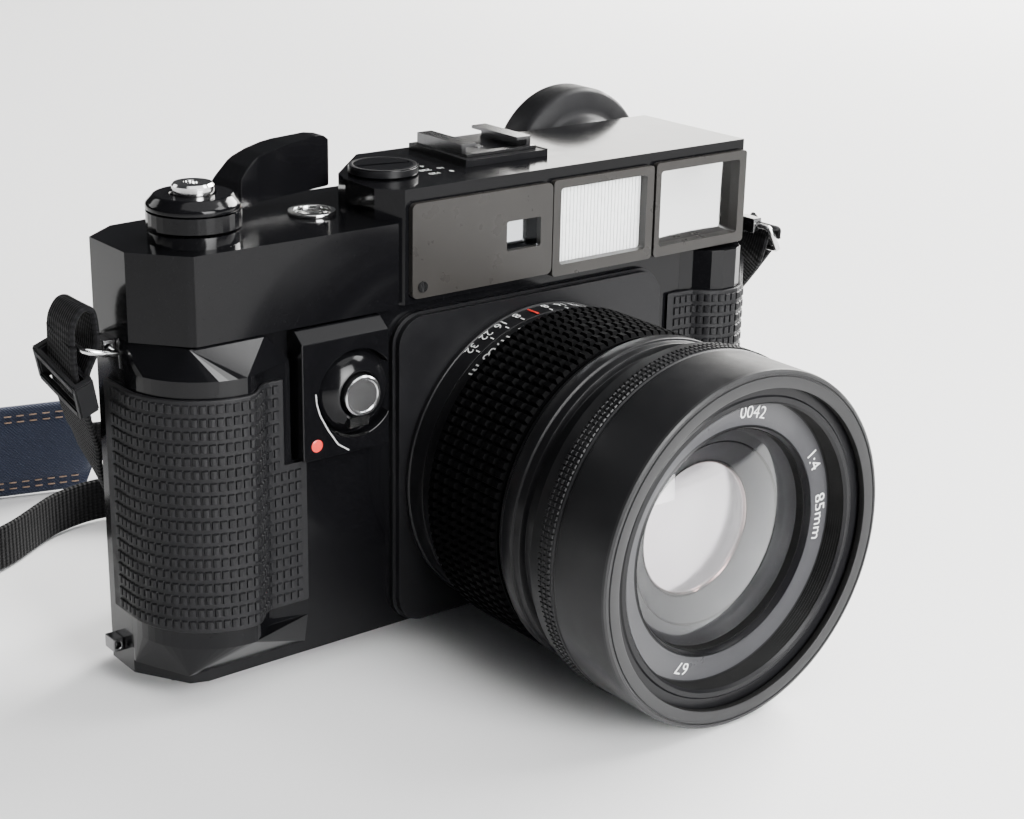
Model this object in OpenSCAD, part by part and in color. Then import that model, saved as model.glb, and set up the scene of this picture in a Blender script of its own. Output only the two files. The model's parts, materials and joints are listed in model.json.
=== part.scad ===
// Medium-format rangefinder camera with a fixed lens, a retracted hood and a webbing neck strap.
// Millimetres, +Z up, the lens looks along -Y, the lens axis lies over x = 0.
// The origin is the mouth of the tripod socket, in the underside of the base cover.

/* [Body] */
// height of the lens axis over the base
lens_z = 42.2; // [40:0.1:50]
// left end of the body, the lever end
left_x = -103.6; // [-110:0.1:-95]
// right end of the body
right_x = 92; // [85:0.5:98]
// front face of the body at the lens
front_y = -18; // [-20:0.5:-14]
// front face of the top cover
cover_front = -21; // [-24:0.5:-18]
// inner face of the back door
door_y = 16; // [14:0.5:20]
// thickness of the back door
door_t = 3; // [2:0.5:5]
// underside of the body over the floor
sill_z = 5.4; // [3:0.1:8]
// joint line between body and top cover
cover_z = 86.8; // [80:0.1:90]
// roof of the cover on the lever side
deck_z = 106.8; // [100:0.1:112]
// roof of the finder block
roof_z = 114; // [108:0.5:120]

/* [Film] */
// width of the picture gate
gate_w = 82.6; // [50:0.1:84]
// height of the picture gate
gate_h = 56; // [40:0.5:58]
// distance of each spool axis from the lens axis
spool_x = 61; // [58:0.5:64]
// radius of a spool flange
spool_r = 12.6; // [12:0.1:13]
// length of a spool over its flanges
spool_len = 65.6; // [60:0.1:66]

/* [Lens] */
// outer radius of the hood
hood_r = 42; // [38:0.5:44]
// radius of the filter thread, outer
thread_r = 33.5; // [30:0.25:38]
// front rim of the hood
hood_front = -97; // [-100:1:-90]
// rear edge of the hood when it is pushed back
hood_rear = -71.5; // [-75:0.5:-70]
// radius over the rubber of the focusing ring
focus_r = 39.7; // [36:0.1:41]

/* [Controls] */
// wind axis, across the body
wind_x = -86; // [-90:0.5:-80]
// wind axis, front to back
wind_y = -8; // [-12:0.5:-4]
// middle of the front release, across the body
rel_x = -54.5; // [-60:0.5:-50]
// middle of the front release over the floor
rel_z = 69.7; // [60:0.1:75]

/* [Strap] */
// width of the webbing
web_w = 12; // [10:1:16]
// thickness of the webbing
web_t = 1.5; // [1:0.1:3]

/* [Hidden] */
$fn = 96;
fit = 0.05;
gap = 0.3;
eps = 0.01;
lx = left_x;
spool_z = 9.6;
chamber_r = 14.4;
chamber_z = [8.4, 76.4];
door_y2 = door_y + door_t;
gate_y = 12.6;
grip_c = [-84.2, -6.5];
grip_r = 20.4;
grip_z = [20.6, 75.7];
crease_y = grip_c[1] - grip_r;
inner_y = -21.4;
gear_z = 88.2;
gear_t = 2.6;
wind_gear_r = 10.5;
take_gear_r = 7.5;
dial_c = [-32.5, -2.5];
count_c = [-52.1, -2.1];
eye_x = 51;
eye_z = 99.5;
lug_z = 82;
hx = -94.4;
hy = 16.5;
black = [0.09, 0.09, 0.1];
satin = [0.14, 0.14, 0.15];
rubber_c = [0.17, 0.17, 0.18];
chrome = [0.78, 0.78, 0.76];
bronze = [0.32, 0.3, 0.27];
glass_c = [0.7, 0.76, 0.8, 0.5];

// ---- helpers ----
function arc(c, r, a0, a1, n) =
  [for (i = [0 : n]) let (a = a0 + (a1 - a0) * i / n) [c[0] + r * cos(a), c[1] + r * sin(a)]];

// a tube along Y round the lens axis
module tube_y(y0, y1, ro, ri = 0) {
  translate([0, y1, lens_z]) rotate([90, 0, 0])
    linear_extrude(y1 - y0) difference() {
      circle(ro);
      if (ri > 0) circle(ri);
    }
}

// a profile of [radius, y] points turned round the lens axis
module turned(pts) {
  translate([0, 0, lens_z]) rotate([90, 0, 0]) mirror([0, 0, 1])
    rotate_extrude() polygon(pts);
}

module rod_y(x, z, y0, y1, r) {
  translate([x, y1, z]) rotate([90, 0, 0]) cylinder(h = y1 - y0, r = r);
}

module rod_z(x, y, z0, z1, r) {
  translate([x, y, z0]) cylinder(h = z1 - z0, r = r);
}

module box(a, b) {
  translate(a) cube([b[0] - a[0], b[1] - a[1], b[2] - a[2]]);
}

module slab(pts, z0, z1) {
  translate([0, 0, z0]) linear_extrude(z1 - z0) polygon(pts);
}

module round_plate(x0, x1, z0, z1, y0, y1, r) {
  translate([0, y1, 0]) rotate([90, 0, 0]) linear_extrude(y1 - y0) {
    union() {
      translate([x0 + r, z0]) square([x1 - x0 - 2 * r, z1 - z0]);
      translate([x0, z0 + r]) square([x1 - x0, z1 - z0 - 2 * r]);
      for (x = [x0 + r, x1 - r], z = [z0 + r, z1 - r]) translate([x, z]) circle(r);
    }
  }
}

// ---- plan outlines, counter-clockwise ----
function unit(v) = v / norm(v);
function inset(p, d) = [for (i = [0 : len(p) - 1])
  let (a = p[(i + len(p) - 1) % len(p)], b = p[i], c = p[(i + 1) % len(p)],
    u = unit(b - a), w = unit(c - b), m = [-u[1], u[0]], n = [-w[1], w[0]])
  b + d * (m + n) / (1 + m * n)];
function rev(p) = [for (i = [len(p) - 1 : -1 : 0]) p[i]];

// the back left corner is cut away; the hinge of the back stands on the cut
core_pts = [[hx - 0.8, door_y], [hx - 0.8, 13.2], [lx, 6.6], [lx, -4], [-96, -16.5], [-92, front_y],
  [70.5, front_y], [right_x - 0.5, 3], [right_x, 5], [right_x, door_y]];
function s_curve(d) = [for (i = [1 : 8]) let (u = i / 8)
  [grip_c[0] + 8 * u, crease_y + d + (inner_y - crease_y) * (1 - cos(180 * u)) / 2]];
function grip_line(d, x1) = concat(arc(grip_c, grip_r - d, 180, 270, 14), s_curve(d),
  [[x1, inner_y + d]]);
left_bulge = concat(grip_line(1, -66.5), [[-66.5, front_y], [-92, front_y], [-96, -16.5], [lx, -4]]);
left_bulge_hi = concat(grip_line(1, -70.2), [[-70.2, front_y], [-92, front_y], [-96, -16.5],
  [lx, -4]]);
right_line = [[46.5, front_y - 0.02], [54, -18.8], [57.5, -22.2], [60.5, -23.8], [64.5, -24],
  [67.5, -22.4], [71.2, front_y - 0.3], [91.9, 2.3]];
right_bulge = [[50, front_y], [54, -18.8], [57.5, -22.2], [60.5, -23.8], [64.5, -24],
  [67.5, -22.4], [70.5, front_y]];
deck_pts = [[-80, 18.6], [-86.5, 14.2], [-95.4, 13.4], [lx - 0.2, 6.8], [lx - 0.2, -9.5], [-94.8, -20],
  [-93.5, cover_front], [-41, cover_front], [-41, -6], [-24, -6], [-24, 18.6]];
block_pts = [[-43.5, -15], [-38.5, cover_front + 1], [69, cover_front + 1], [69, 18.6],
  [-26, 18.6], [-41.5, 3], [-43.5, -3]];
shoulder_pts = [[68, cover_front + 2], [71, -18.6], [right_x - 0.4, 2.2], [right_x + 0.1, 4.6],
  [right_x + 0.1, 18.6], [68, 18.6]];

// ---- body ----
module body_casting() color(black) {
  // fixed upper pin of the supply spool
  rod_z(spool_x, 0.5, spool_z + spool_len - 4, chamber_z[1] + 0.5, 3);
  difference() {
    union() {
      slab(core_pts, sill_z, cover_z);
      // fixed knuckles of the back hinge
      for (z = [20, 62.4]) {
        rod_z(hx, hy, z, z + 9.4, 2.1);
        box([hx - 0.8, 13.5, z], [hx + 2.1, hy, z + 9.4]);
      }
    }
    // light box and lens throat
    box([-gate_w / 2, -14.5, lens_z - gate_h / 2], [gate_w / 2, door_y + 1, lens_z + gate_h / 2]);
    rod_y(0, lens_z, front_y - 1, -14, 30);
    for (s = [-1, 1]) {
      rod_z(s * spool_x, 0.5, chamber_z[0], chamber_z[1], chamber_r);
      box([s * spool_x - chamber_r, 0.5, chamber_z[0]],
        [s * spool_x + chamber_r, door_y + 1, chamber_z[1]]);
      // roller trough
      box([s * 44.2 - 2.4, 10.6, 11], [s * 44.2 + 2.4, door_y + 1, 74]);
      // pin holes under the chambers
      rod_z(s * spool_x, 0.5, sill_z - 1, chamber_z[0] + 1, 3.05);
      // pocket for the pin knob
      rod_z(s * spool_x, 0.5, sill_z - 1, sill_z + 1.6, 6.5);
    }
    // film plane step
    box([-42, gate_y, 10], [42, door_y + 1, 74.4]);
    // shafts through the roof
    rod_z(-spool_x, 0.5, chamber_z[1] - 1, cover_z, 3.05);
    rod_z(wind_x, wind_y, 79, cover_z, 3.05);
    rod_z(idler_c()[0], idler_c()[1], 81, cover_z, 1.55);
    // tripod bush
    rod_z(0, 0, sill_z - 1, sill_z + 4.5, 6.5);
    // front release bore
    rod_y(rel_x, rel_z, front_y - 1, -9, 3.05);
    // end cavities, as cast
    box([hx + 1.4, -2, 12], [-78, 11, 76]);
    box([78.5, 2, 12], [right_x - 4.4, 12.6, 76]);
    // slot for the latch hook
    box([right_x - 2.4, 9.6, 34], [right_x + 1, 12.4, 60]);
    // room for the moving knuckle and the pin
    rod_z(hx, hy, 29.4, 62.4, 3.1);
    rod_z(hx, hy, 19, 73, 1);
  }
}

function idler_c() = let (dx = -spool_x - wind_x, dy = 0.5 - wind_y,
  d = sqrt(dx * dx + dy * dy), t = (wind_gear_r + 0.2 + (d - wind_gear_r - take_gear_r - 0.4) / 2) / d)
  [wind_x + dx * t, wind_y + dy * t];
function idler_r() = let (dx = -spool_x - wind_x, dy = 0.5 - wind_y)
  (sqrt(dx * dx + dy * dy) - wind_gear_r - take_gear_r - 0.4) / 2;

base_pts = [[-92, 8.5], [-91, -5.5], [-86, -6.5], [-36, -8], [36, -8], [68, -7], [81, 5],
  [81, 8.5]];
module base_cover() color(black) difference() {
  union() {
    slab(base_pts, 0, 3);
    slab([[-97, 11], [-96.5, -9], [-91.5, -10.5], [-36, -12.3], [36, -12.3], [68.5, -12],
      [85.5, 4.5], [85.5, 11]], 3, sill_z);
  }
  rod_z(0, 0, -1, sill_z + 1, 6.5);
  for (s = [-1, 1]) rod_z(s * spool_x, 0.5, -1, sill_z + 1, 6.5);
}

module tripod_bush() color(chrome) difference() {
  rod_z(0, 0, 0, sill_z + 4.5, 6.5);
  rod_z(0, 0, -1, 8, 3.175);
}

module grip_shell_left() color(black) difference() {
  union() {
    slab(left_bulge, 16.2, 55.6);
    slab(left_bulge_hi, 55.6, grip_z[1] + 3.9);
    // slope up to the cover
    hull() {
      slab(left_bulge_hi, grip_z[1] + 3.8, grip_z[1] + 3.9);
      slab([[lx - 0.1, -5], [-95, -20.3], [-76.4, -20.3], [-76.4, front_y], [-92, front_y],
        [-96, -16.5], [lx, -4]], cover_z - 0.5, cover_z - 0.4);
    }
    // slope in to the sill
    hull() {
      slab(left_bulge, 16.2, 16.3);
      slab([[lx - 0.1, -5], [-97.4, front_y - 0.8], [-66.5, front_y - 0.8], [-66.5, front_y],
        [-92, front_y], [-96, -16.5], [lx, -4]], 8.6, 8.7);
    }
  }
  slab(core_pts, sill_z - 1, cover_z + 1);
}

module grip_shell_right() color(black) {
  slab(right_bulge, 16.2, cover_z - 0.6);
  hull() {
    slab(right_bulge, 16.2, 16.3);
    slab([[50, front_y], [54, front_y - 0.3], [68, front_y - 0.3], [70.5, front_y]], 8.6, 8.7);
  }
}

module grip_left() color(rubber_c) {
  slab(concat([[lx - 1, 2]], grip_line(0, -66.8), rev(grip_line(1, -66.8)), [[lx, 2]]),
    grip_z[0], 55.2);
  slab(concat([[lx - 1, 2]], grip_line(0, -72.5), rev(grip_line(1, -72.5)), [[lx, 2]]),
    55.2, grip_z[1]);
}

module grip_right() color(rubber_c)
  slab(concat(right_out(1), rev(right_out(0.02))), grip_z[0], grip_z[1]);
function right_out(d) = let (p = inset(concat([[46.5, 0]], right_line, [[91.9, 12]]), -d))
  [for (i = [1 : len(p) - 2]) p[i]];

// ---- top cover and finder ----
module top_cover() color(satin) difference() {
  union() {
    difference() {
      union() {
        slab(deck_pts, cover_z, deck_z);
        slab(block_pts, cover_z, roof_z);
        slab(shoulder_pts, cover_z, 100);
        // collar under the wind hub
        rod_z(wind_x, wind_y, deck_z, deck_z + 2.6, 10.2);
      }
      slab(inset(deck_pts, 2), cover_z - 1, deck_z - 2);
      slab(inset(block_pts, 2), cover_z - 1, roof_z - 2);
      slab(inset(shoulder_pts, 2), cover_z - 1, 98);
      box([-60, -16, cover_z - 1], [-26, 12, deck_z - 2]);
      box([60, -14, cover_z - 1], [76, 14, 98]);
    }
    rod_z(count_c[0] - 5, count_c[1] + 4, 102.6, deck_z - 1, 3.4);
  }
  rod_z(wind_x, wind_y, deck_z - 3, deck_z + 3, 3.05);
  // counter window well
  rod_z(count_c[0], count_c[1], deck_z - 3, deck_z + 1, 4.5);
  // pivot of the counter disc, under the deck
  rod_z(count_c[0] - 5, count_c[1] + 4, 101, 105.6, 1.55);
  // film dial well
  rod_z(dial_c[0], dial_c[1], roof_z - 3, roof_z + 1, 1.55);
  // front openings
  box([-10.2, -22, 95.6], [0.4, -17, 103.2]);
  box([5.3, -22, 88.8], [35.5, -17, 110.2]);
  box([37.8, -22, 88.6], [67.8, -12, 110.4]);
  // eyepiece bore
  rod_y(eye_x, eye_z, 15, 20, 10);
}

module finder_panel() color(bronze) difference() {
  round_plate(-37.4, 3.9, 88.3, 110.8, -21.5, cover_front + 1, 1.5);
  round_plate(-10, 0.3, 95.8, 103, -22, -19, 0.6);
  rod_y(-34.6, 91, -22, -19, 1.35);
}

module frame(x0, x1, z0, z1, ix0, ix1, iz0, iz1, depth) difference() {
  union() {
    round_plate(x0, x1, z0, z1, -21.5, cover_front + 1, 1);
    box([ix0 - 1, cover_front + 0.9, iz0 - 1], [ix1 + 1, cover_front + 1 + depth, iz1 + 1]);
  }
  round_plate(ix0, ix1, iz0, iz1, -22, cover_front + 3 + depth, 0.8);
}

module illum_frame() color(bronze) frame(4.2, 36.6, 87.2, 111.1, 6.5, 34.3, 90, 109, 1);
module finder_frame() color(bronze) frame(37.4, 68.9, 87.2, 111.4, 39.1, 66.5, 89.8, 109.2, 6);
module illum_window() color([0.9, 0.92, 0.92]) difference() {
  box([5.5, -19, 89], [35.3, -17.2, 110]);
  for (i = [0 : 24]) box([6.6 + i * 1.12, -19.5, 89.5], [7 + i * 1.12, -18.7, 109.5]);
}
module finder_window() color(glass_c) box([38.1, -14, 88.8], [67, -12.4, 110.2]);
module range_window() color(glass_c) box([-11.2, -18, 94.8], [1.4, -16.8, 104]);

module eyepiece_ring() color(satin) difference() {
  union() {
    rod_y(eye_x, eye_z, 18.6, 22.5, 12);
    rod_y(eye_x, eye_z, 14, 18.6, 10);
  }
  rod_y(eye_x, eye_z, 16.5, 23, 8.6);
  rod_y(eye_x, eye_z, 13, 17, 7.4);
}
module eyepiece_lens() color(glass_c) rod_y(eye_x, eye_z, 16.5, 19.5, 8.6);
module eyecup() color(rubber_c) difference() {
  translate([eye_x, 0, eye_z]) rotate([90, 0, 0]) mirror([0, 0, 1]) rotate_extrude()
    polygon([[12.05, 19.4], [14, 19.2], [17.5, 21.5], [20.6, 25], [22.3, 29.5], [22.6, 34], [21.4, 34],
      [21, 30], [19.3, 26], [16, 23.2], [12.05, 22.4]]);
  // flat underside, over the top edge of the back
  box([20, 18, 70], [80, 40, 86.9]);
}

module shoe_base() color(black) difference() {
  slab([[-12.6, -8.4], [12.6, -8.4], [11.6, 16.6], [-11.6, 16.6]], roof_z, roof_z + 1.8);
  box([-12, -20, roof_z + 1.6], [12, 20, roof_z + 1.9]);
  rod_z(0, 4, roof_z + 1, roof_z + 3, 1.6);
}
module shoe_rails() color(chrome) {
  for (s = [-1, 1]) {
    box([min(s * 9.35, s * 10.6), -4, roof_z + 1.6], [max(s * 9.35, s * 10.6), 14.5, roof_z + 3.7]);
    box([min(s * 6.3, s * 10.6), -4, roof_z + 3.7], [max(s * 6.3, s * 10.6), 14.5, roof_z + 4.5]);
  }
  box([-10.6, -6.2, roof_z + 1.6], [10.6, -4, roof_z + 2.5]);
  rod_z(0, 4, roof_z + 1, roof_z + 1.75, 1.6);
}

module counter_bezel() color(chrome) difference() {
  union() {
    rod_z(count_c[0], count_c[1], deck_z, deck_z + 0.9, 5.6);
    rod_z(count_c[0], count_c[1], deck_z - 2, deck_z, 4.5);
  }
  rod_z(count_c[0], count_c[1], deck_z - 0.4, deck_z + 1, 4.2);
  rod_z(count_c[0], count_c[1], deck_z - 3, deck_z, 3.4);
}
module counter_disc() color([0.15, 0.15, 0.15]) union() {
  rod_z(count_c[0] - 5, count_c[1] + 4, 101, 102.2, 9);
  rod_z(count_c[0] - 5, count_c[1] + 4, 102.2, 105.4, 1.5);
}

// ---- front fittings ----
module lens_plate() color(satin) difference() {
  union() {
    round_plate(-40.8, 40.8, 6.2, 83.8, -21, -19.4, 7);
    round_plate(-41.6, 41.6, 5.8, 84.4, -19.4, front_y, 7.4);
  }
  rod_y(0, lens_z, -22, -17, 31);
}

module release_housing() color(black) difference() {
  union() {
    box([-69.2, -24, 55.8], [-45.8, front_y, 83.6]);
    translate([0, 0, 0]) rotate([90, 0, 90]) translate([0, 0, -69.2]) linear_extrude(23.4)
      polygon([[-24, 83.6], [front_y, 83.6], [front_y, 86.2], [-20.6, 86.2]]);
  }
  // round well for the button and its collar
  rod_y(rel_x, rel_z, -25, -21, 10.4);
  rod_y(rel_x, rel_z, -25, -17, 3.05);
}
module front_button() color(chrome) union() {
  rod_y(rel_x, rel_z, -26.4, -22.6, 4.7);
  rod_y(rel_x, rel_z, -22.6, -12, 3);
}
module lock_collar() color(satin) difference() {
  union() {
    rod_y(rel_x, rel_z, -25.2, -21.4, 9.4);
    // finger tab of the lock
    translate([rel_x, -21.4, rel_z]) rotate([90, 0, 0]) linear_extrude(2.6)
      rotate(-130) translate([6, -2.2]) square([3.8, 4.4]);
  }
  rod_y(rel_x, rel_z, -26, -20, 5.2);
}

module lug(x, s) color(chrome) difference() {
  box([min(x, x + s * 3), -3, 82], [max(x, x + s * 3), 3, 86]);
  rod_y(x + s * 1.8, 84, -4, 4, 0.95);
}
module lug_left() lug(lx, -1);
module lug_right() lug(right_x, 1);
module lug_low() color(chrome) difference() {
  box([lx - 2.6, 0.6, 9.2], [lx, 5.2, 12.4]);
  rod_y(lx - 1.5, 10.8, 0, 6, 0.8);
}
module ring(x, s, tilt) color(chrome) {
  rod_y(x + s * 1.8, 84, -7, 7, 0.85);
  translate([x + s * 1.8, 0, 84]) mirror([s < 0 ? 1 : 0, 0, 0]) rotate([0, tilt, 0])
    translate([0, 0, -0.8]) linear_extrude(1.6) difference() {
      translate([-0.5, -8.2]) square([8.6, 16.4]);
      translate([-1, -6.8]) square([7.6, 13.6]);
    }
}
module ring_left() ring(lx, -1, -14);
module ring_right() ring(right_x, 1, 60);

// ---- film path ----
module roller(s) color(chrome) rod_z(s * 44.2, 13, 11.3, 73.7, 1.9);
module roller_left() roller(-1);
module roller_right() roller(1);
module spool(x) color([0.2, 0.2, 0.22]) difference() {
  union() {
    rod_z(x, 0.5, spool_z, spool_z + 1.2, spool_r);
    rod_z(x, 0.5, spool_z + spool_len - 1.2, spool_z + spool_len, spool_r);
    rod_z(x, 0.5, spool_z + 1.2, spool_z + spool_len - 1.2, 6);
  }
  rod_z(x, 0.5, spool_z - 1, spool_z + 5, 3.05);
  rod_z(x, 0.5, spool_z + spool_len - 5, spool_z + spool_len + 1, 3.05);
}
module takeup_spool() spool(-spool_x);
module supply_spool() spool(spool_x);
module takeup_drive() color(chrome) union() {
  rod_z(-spool_x, 0.5, gear_z, gear_z + gear_t, take_gear_r);
  rod_z(-spool_x, 0.5, spool_z + spool_len - 4.5, gear_z, 3);
}
module pin(x) color(chrome) union() {
  rod_z(x, 0.5, sill_z - 0.6, sill_z + 1.3, 6);
  rod_z(x, 0.5, sill_z + 1.3, spool_z + 4, 3);
}
module takeup_pin() pin(-spool_x);
module supply_pin() pin(spool_x);
module idler_gear() color(chrome) union() {
  rod_z(idler_c()[0], idler_c()[1], gear_z, gear_z + gear_t, idler_r());
  rod_z(idler_c()[0], idler_c()[1], 81.5, gear_z, 1.5);
}
module wind_shaft() color(chrome) difference() {
  union() {
    rod_z(wind_x, wind_y, gear_z, gear_z + gear_t, wind_gear_r);
    rod_z(wind_x, wind_y, 79.5, 113, 3);
  }
  rod_z(wind_x, wind_y, 96, 114, 2.05);
}

// ---- wind lever and top controls ----
module wind_hub() color(black) difference() {
  union() {
    rod_z(wind_x, wind_y, 113.9, 115.2, 10.4);
    translate([wind_x, wind_y, 115.2]) cylinder(h = 2, r1 = 10.4, r2 = 8.6);
    rod_z(wind_x, wind_y, 109.8, 113.9, 7);
  }
  rod_z(wind_x, wind_y, 109, 113, 3.02);
  rod_z(wind_x, wind_y, 112.6, 118, 4.95);
}
lever_plan = concat(arc([wind_x, wind_y], 10.4, 75, 330, 24), [[-72, -4.6], [-63.9, 2], [-42, 7.4]],
  arc([-42.4, 9.6], 2.2, -80, 90, 6), [[-57, 12.2], [-66, 9.6], [-76, 3.4]]);
lever_side = [[-97, 110.2], [-97, 113.7], [-79, 113.7], [-76.4, 114.6], [-73, 116.9], [-68, 119.3],
  [-62, 120.9], [-54, 122.1], [-45.4, 122.7], [-42.6, 122.3], [-40.7, 121], [-39.8, 119], [-39.6, 113],
  [-40.1, 111.2], [-41.4, 110.2]];
module wind_lever() color(black) difference() {
  intersection() {
    slab(lever_plan, 109, 125);
    translate([0, 20, 0]) rotate([90, 0, 0]) linear_extrude(40) polygon(lever_side);
  }
  rod_z(wind_x, wind_y, 109, 114.4, 7.02);
  // room for the hub over the arm
  rod_z(wind_x, wind_y, 113.7, 125, 10.9);
}
module top_button() color(chrome) difference() {
  union() {
    rod_z(wind_x, wind_y, 115, 119, 4.6);
    translate([wind_x, wind_y, 119]) cylinder(h = 0.5, r1 = 4.6, r2 = 4.1);
    rod_z(wind_x, wind_y, 98.5, 115, 2);
  }
  rod_z(wind_x, wind_y, 113.5, 121, 1.5);
}
module film_dial() color(satin) difference() {
  union() {
    rod_z(dial_c[0], dial_c[1], roof_z + 0.3, roof_z + 2.2, 8.2);
    rod_z(dial_c[0], dial_c[1], roof_z - 2.6, roof_z + 0.3, 1.5);
  }
  // coin slot
  translate([dial_c[0], dial_c[1], roof_z + 1.1]) rotate(-12)
    translate([-9, -0.8, 0]) cube([18, 1.6, 2]);
}

// ---- lens ----
module lens_base() color(satin) turned([[30, -18.3], [30, -58], [33, -58], [33, -26.9],
  [38.4, -26.9], [38.8, -22.4], [39.2, -22.2], [39.2, -21], [31, -21], [31, -18.3]]);
module focus_ring() color(satin) turned([[33.05, -27.2], [33.05, -59.2], [38, -59.2],
  [38, -58.6], [39.2, -58.4], [39.2, -57.6], [38.2, -57.4], [38.2, -31], [38.4, -27.2]]);
module focus_rubber() color(rubber_c) turned([[38.2, -31.2], [39.5, -31.3], [39.5, -57.2],
  [38.2, -57.3]]);
module head_barrel() color(satin) turned([[28.2, -34], [29.95, -34], [29.95, -59.6],
  [40.2, -59.6], [40.4, -60], [40.4, -63.2], [39.8, -63.4], [39.8, -65.6], [38.3, -66],
  [38.3, -72.6], [37.4, -72.6], [37.4, -88.3], [35.1, -88.3], [35.1, -63.5], [28.2, -63.5]]);
module shutter_unit() color(black) {
  turned([[14, -72], [35, -72], [35, -63.6], [22, -63.6], [22, -33], [20.05, -33],
    [20.05, -62], [14, -62]]);
  // closed-down iris ring
  turned([[9, -70.4], [14, -70.4], [14, -69.8], [9, -69.8]]);
}
module shutter_ring() color(satin) turned([[37.45, -73], [39.3, -73], [39.3, -79.6],
  [37.45, -79.6]]);
module aperture_ring() color(satin) turned([[37.45, -80], [39.3, -80], [39.3, -87.8],
  [37.45, -87.8]]);
module front_cell() color(black) turned([[thread_r, -94.6], [39.2, -94.6], [39.2, -88.3],
  [35.1, -88.3], [35.1, -76], [27.2, -76], [26.2, -88], [26.9, -90], [33.9, -89.4], [33.9, -91.8],
  [thread_r, -91.8]]);
function lens_arc(y_edge, y_top, r, n) = [for (i = [0 : n]) let (t = r * i / n,
  h = abs(y_top - y_edge), rc = (r * r + h * h) / (2 * h))
  [t, y_top + sign(y_edge - y_top) * (rc - sqrt(rc * rc - t * t))]];
module front_lens() color(glass_c)
  turned(concat(lens_arc(-86.6, -91.4, 26, 12), [[26, -79]], rev(lens_arc(-79, -80.4, 24, 8))));
module rear_lens() color(glass_c)
  turned(concat(lens_arc(-41, -43, 20, 8), [[20, -36.6]], rev(lens_arc(-36.6, -34.6, 20, 8))));
module hood() color(satin) turned([[39.8, hood_rear], [41.6, hood_rear], [41.9, -72],
  [41.9, -75], [hood_r + 0.1, -75.2], [hood_r + 0.1, -79.4], [hood_r, -79.6], [hood_r, -96.4],
  [41.4, hood_front], [37.6, hood_front], [37.4, -96.6], [37.4, -95.6], [39.8, -95.4]]);

// ---- back ----
module back_door() color(black) difference() {
  union() {
    slab([[hx + 4, door_y + 0.3], [right_x, door_y + 0.3], [right_x, door_y2 - 1],
      [right_x - 1, door_y2], [hx + 4, door_y2]], sill_z + 0.4, cover_z - 0.6);
    // knuckle round the pin
    slab([[hx - 0.2, 14.6], [hx + 2.4, 16.3], [hx + 4.2, 16.3], [hx + 4.2, door_y2], [hx - 0.2, 18.5]],
      30, 62);
    rod_z(hx, hy, 30, 62, 2.1);
    // frame round the film back
    box([-72, door_y2 - eps, 18], [72, door_y2 + 0.8, 74]);
  }
  box([-74, door_y + 0.2, 11.4], [74, door_y + 1.3, 73.6]);
  for (x = [-30, 30]) rod_y(x, lens_z, door_y, 19.3, 2.05);
  rod_z(hx, hy, 29, 63, 1.03);
}
module hinge_pin() color(chrome) {
  rod_z(hx, hy, 20, 72, 0.98);
}
module pressure_plate() color(black) {
  box([-41.6, 12.9, 12], [41.6, 13.9, 72.4]);
  for (x = [-30, 30]) rod_y(x, lens_z, 13.9, 18.2, 2);
}
module door_latch() color(black) {
  box([right_x + 0.3, 8.4, 34], [right_x + 1.9, 17.6, 56]);
  box([right_x - 1.9, 10, 36], [right_x + 0.4, 12, 54]);
  for (z = [38, 42, 46, 50]) rod_z(right_x + 1.9, 13, z, z + 1.2, 0.8);
}

// ---- strap ----
route = [[-114.8, 0, 88], [-113.6, 2.6, 80.4], [-110.8, 6.4, 72.8], [-107.2, 11, 65.2],
  [-103, 16.4, 57], [-98, 22.5, 46.8], [-88.5, 28.5, 34], [-74, 33.6, 20],
  [-50.5, 40.1, 10.4], [-38.7, 52.9, 7], [-36.4, 70.2, 6.6], [-44.5, 85.7, 6.6],
  [-60, 93.8, 6.6], [-77.3, 91.5, 6.6], [-102, 77.2, 6.6], [-130, 74.6, 8], [-156, 78, 12],
  [-176, 78.6, 13.9], [-196, 85.1, 13.9], [-208.3, 102.1, 13.9], [-208.3, 123.1, 13.9],
  [-196, 140.1, 13.9], [-176, 146.6, 13.9], [-152, 145.8, 13.9], [-128, 141, 13.9],
  [-104, 133.5, 13.9], [-78, 126, 13.9], [-53, 119, 13.9], [-27, 117, 11.2], [0, 121, 7.4],
  [30, 126, 6.6], [60, 125, 6.6], [85, 113, 6.8], [100.5, 93.5, 9.2], [107.5, 72, 17.5],
  [109, 51, 33], [106.2, 32, 50], [102.4, 14.5, 66], [99.9, 0.5, 81.5]];
pad_from = 35;
pad_to = 54;
pad_w = 27;
pad_t = 4;
function cr(a, b, c, d, t) = 0.5 * ((2 * b) + (c - a) * t + (2 * a - 5 * b + 4 * c - d) * t * t
  + (3 * b - a - 3 * c + d) * t * t * t);
nr = len(route);
line = concat([for (i = [0 : nr - 2]) for (j = [0, 1]) cr(route[max(i - 1, 0)], route[i],
  route[i + 1], route[min(i + 2, nr - 1)], j / 2)], [route[nr - 1]]);
nl = len(line);
function tangent(i) = unit(line[min(i + 1, nl - 1)] - line[max(i - 1, 0)]);
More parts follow.
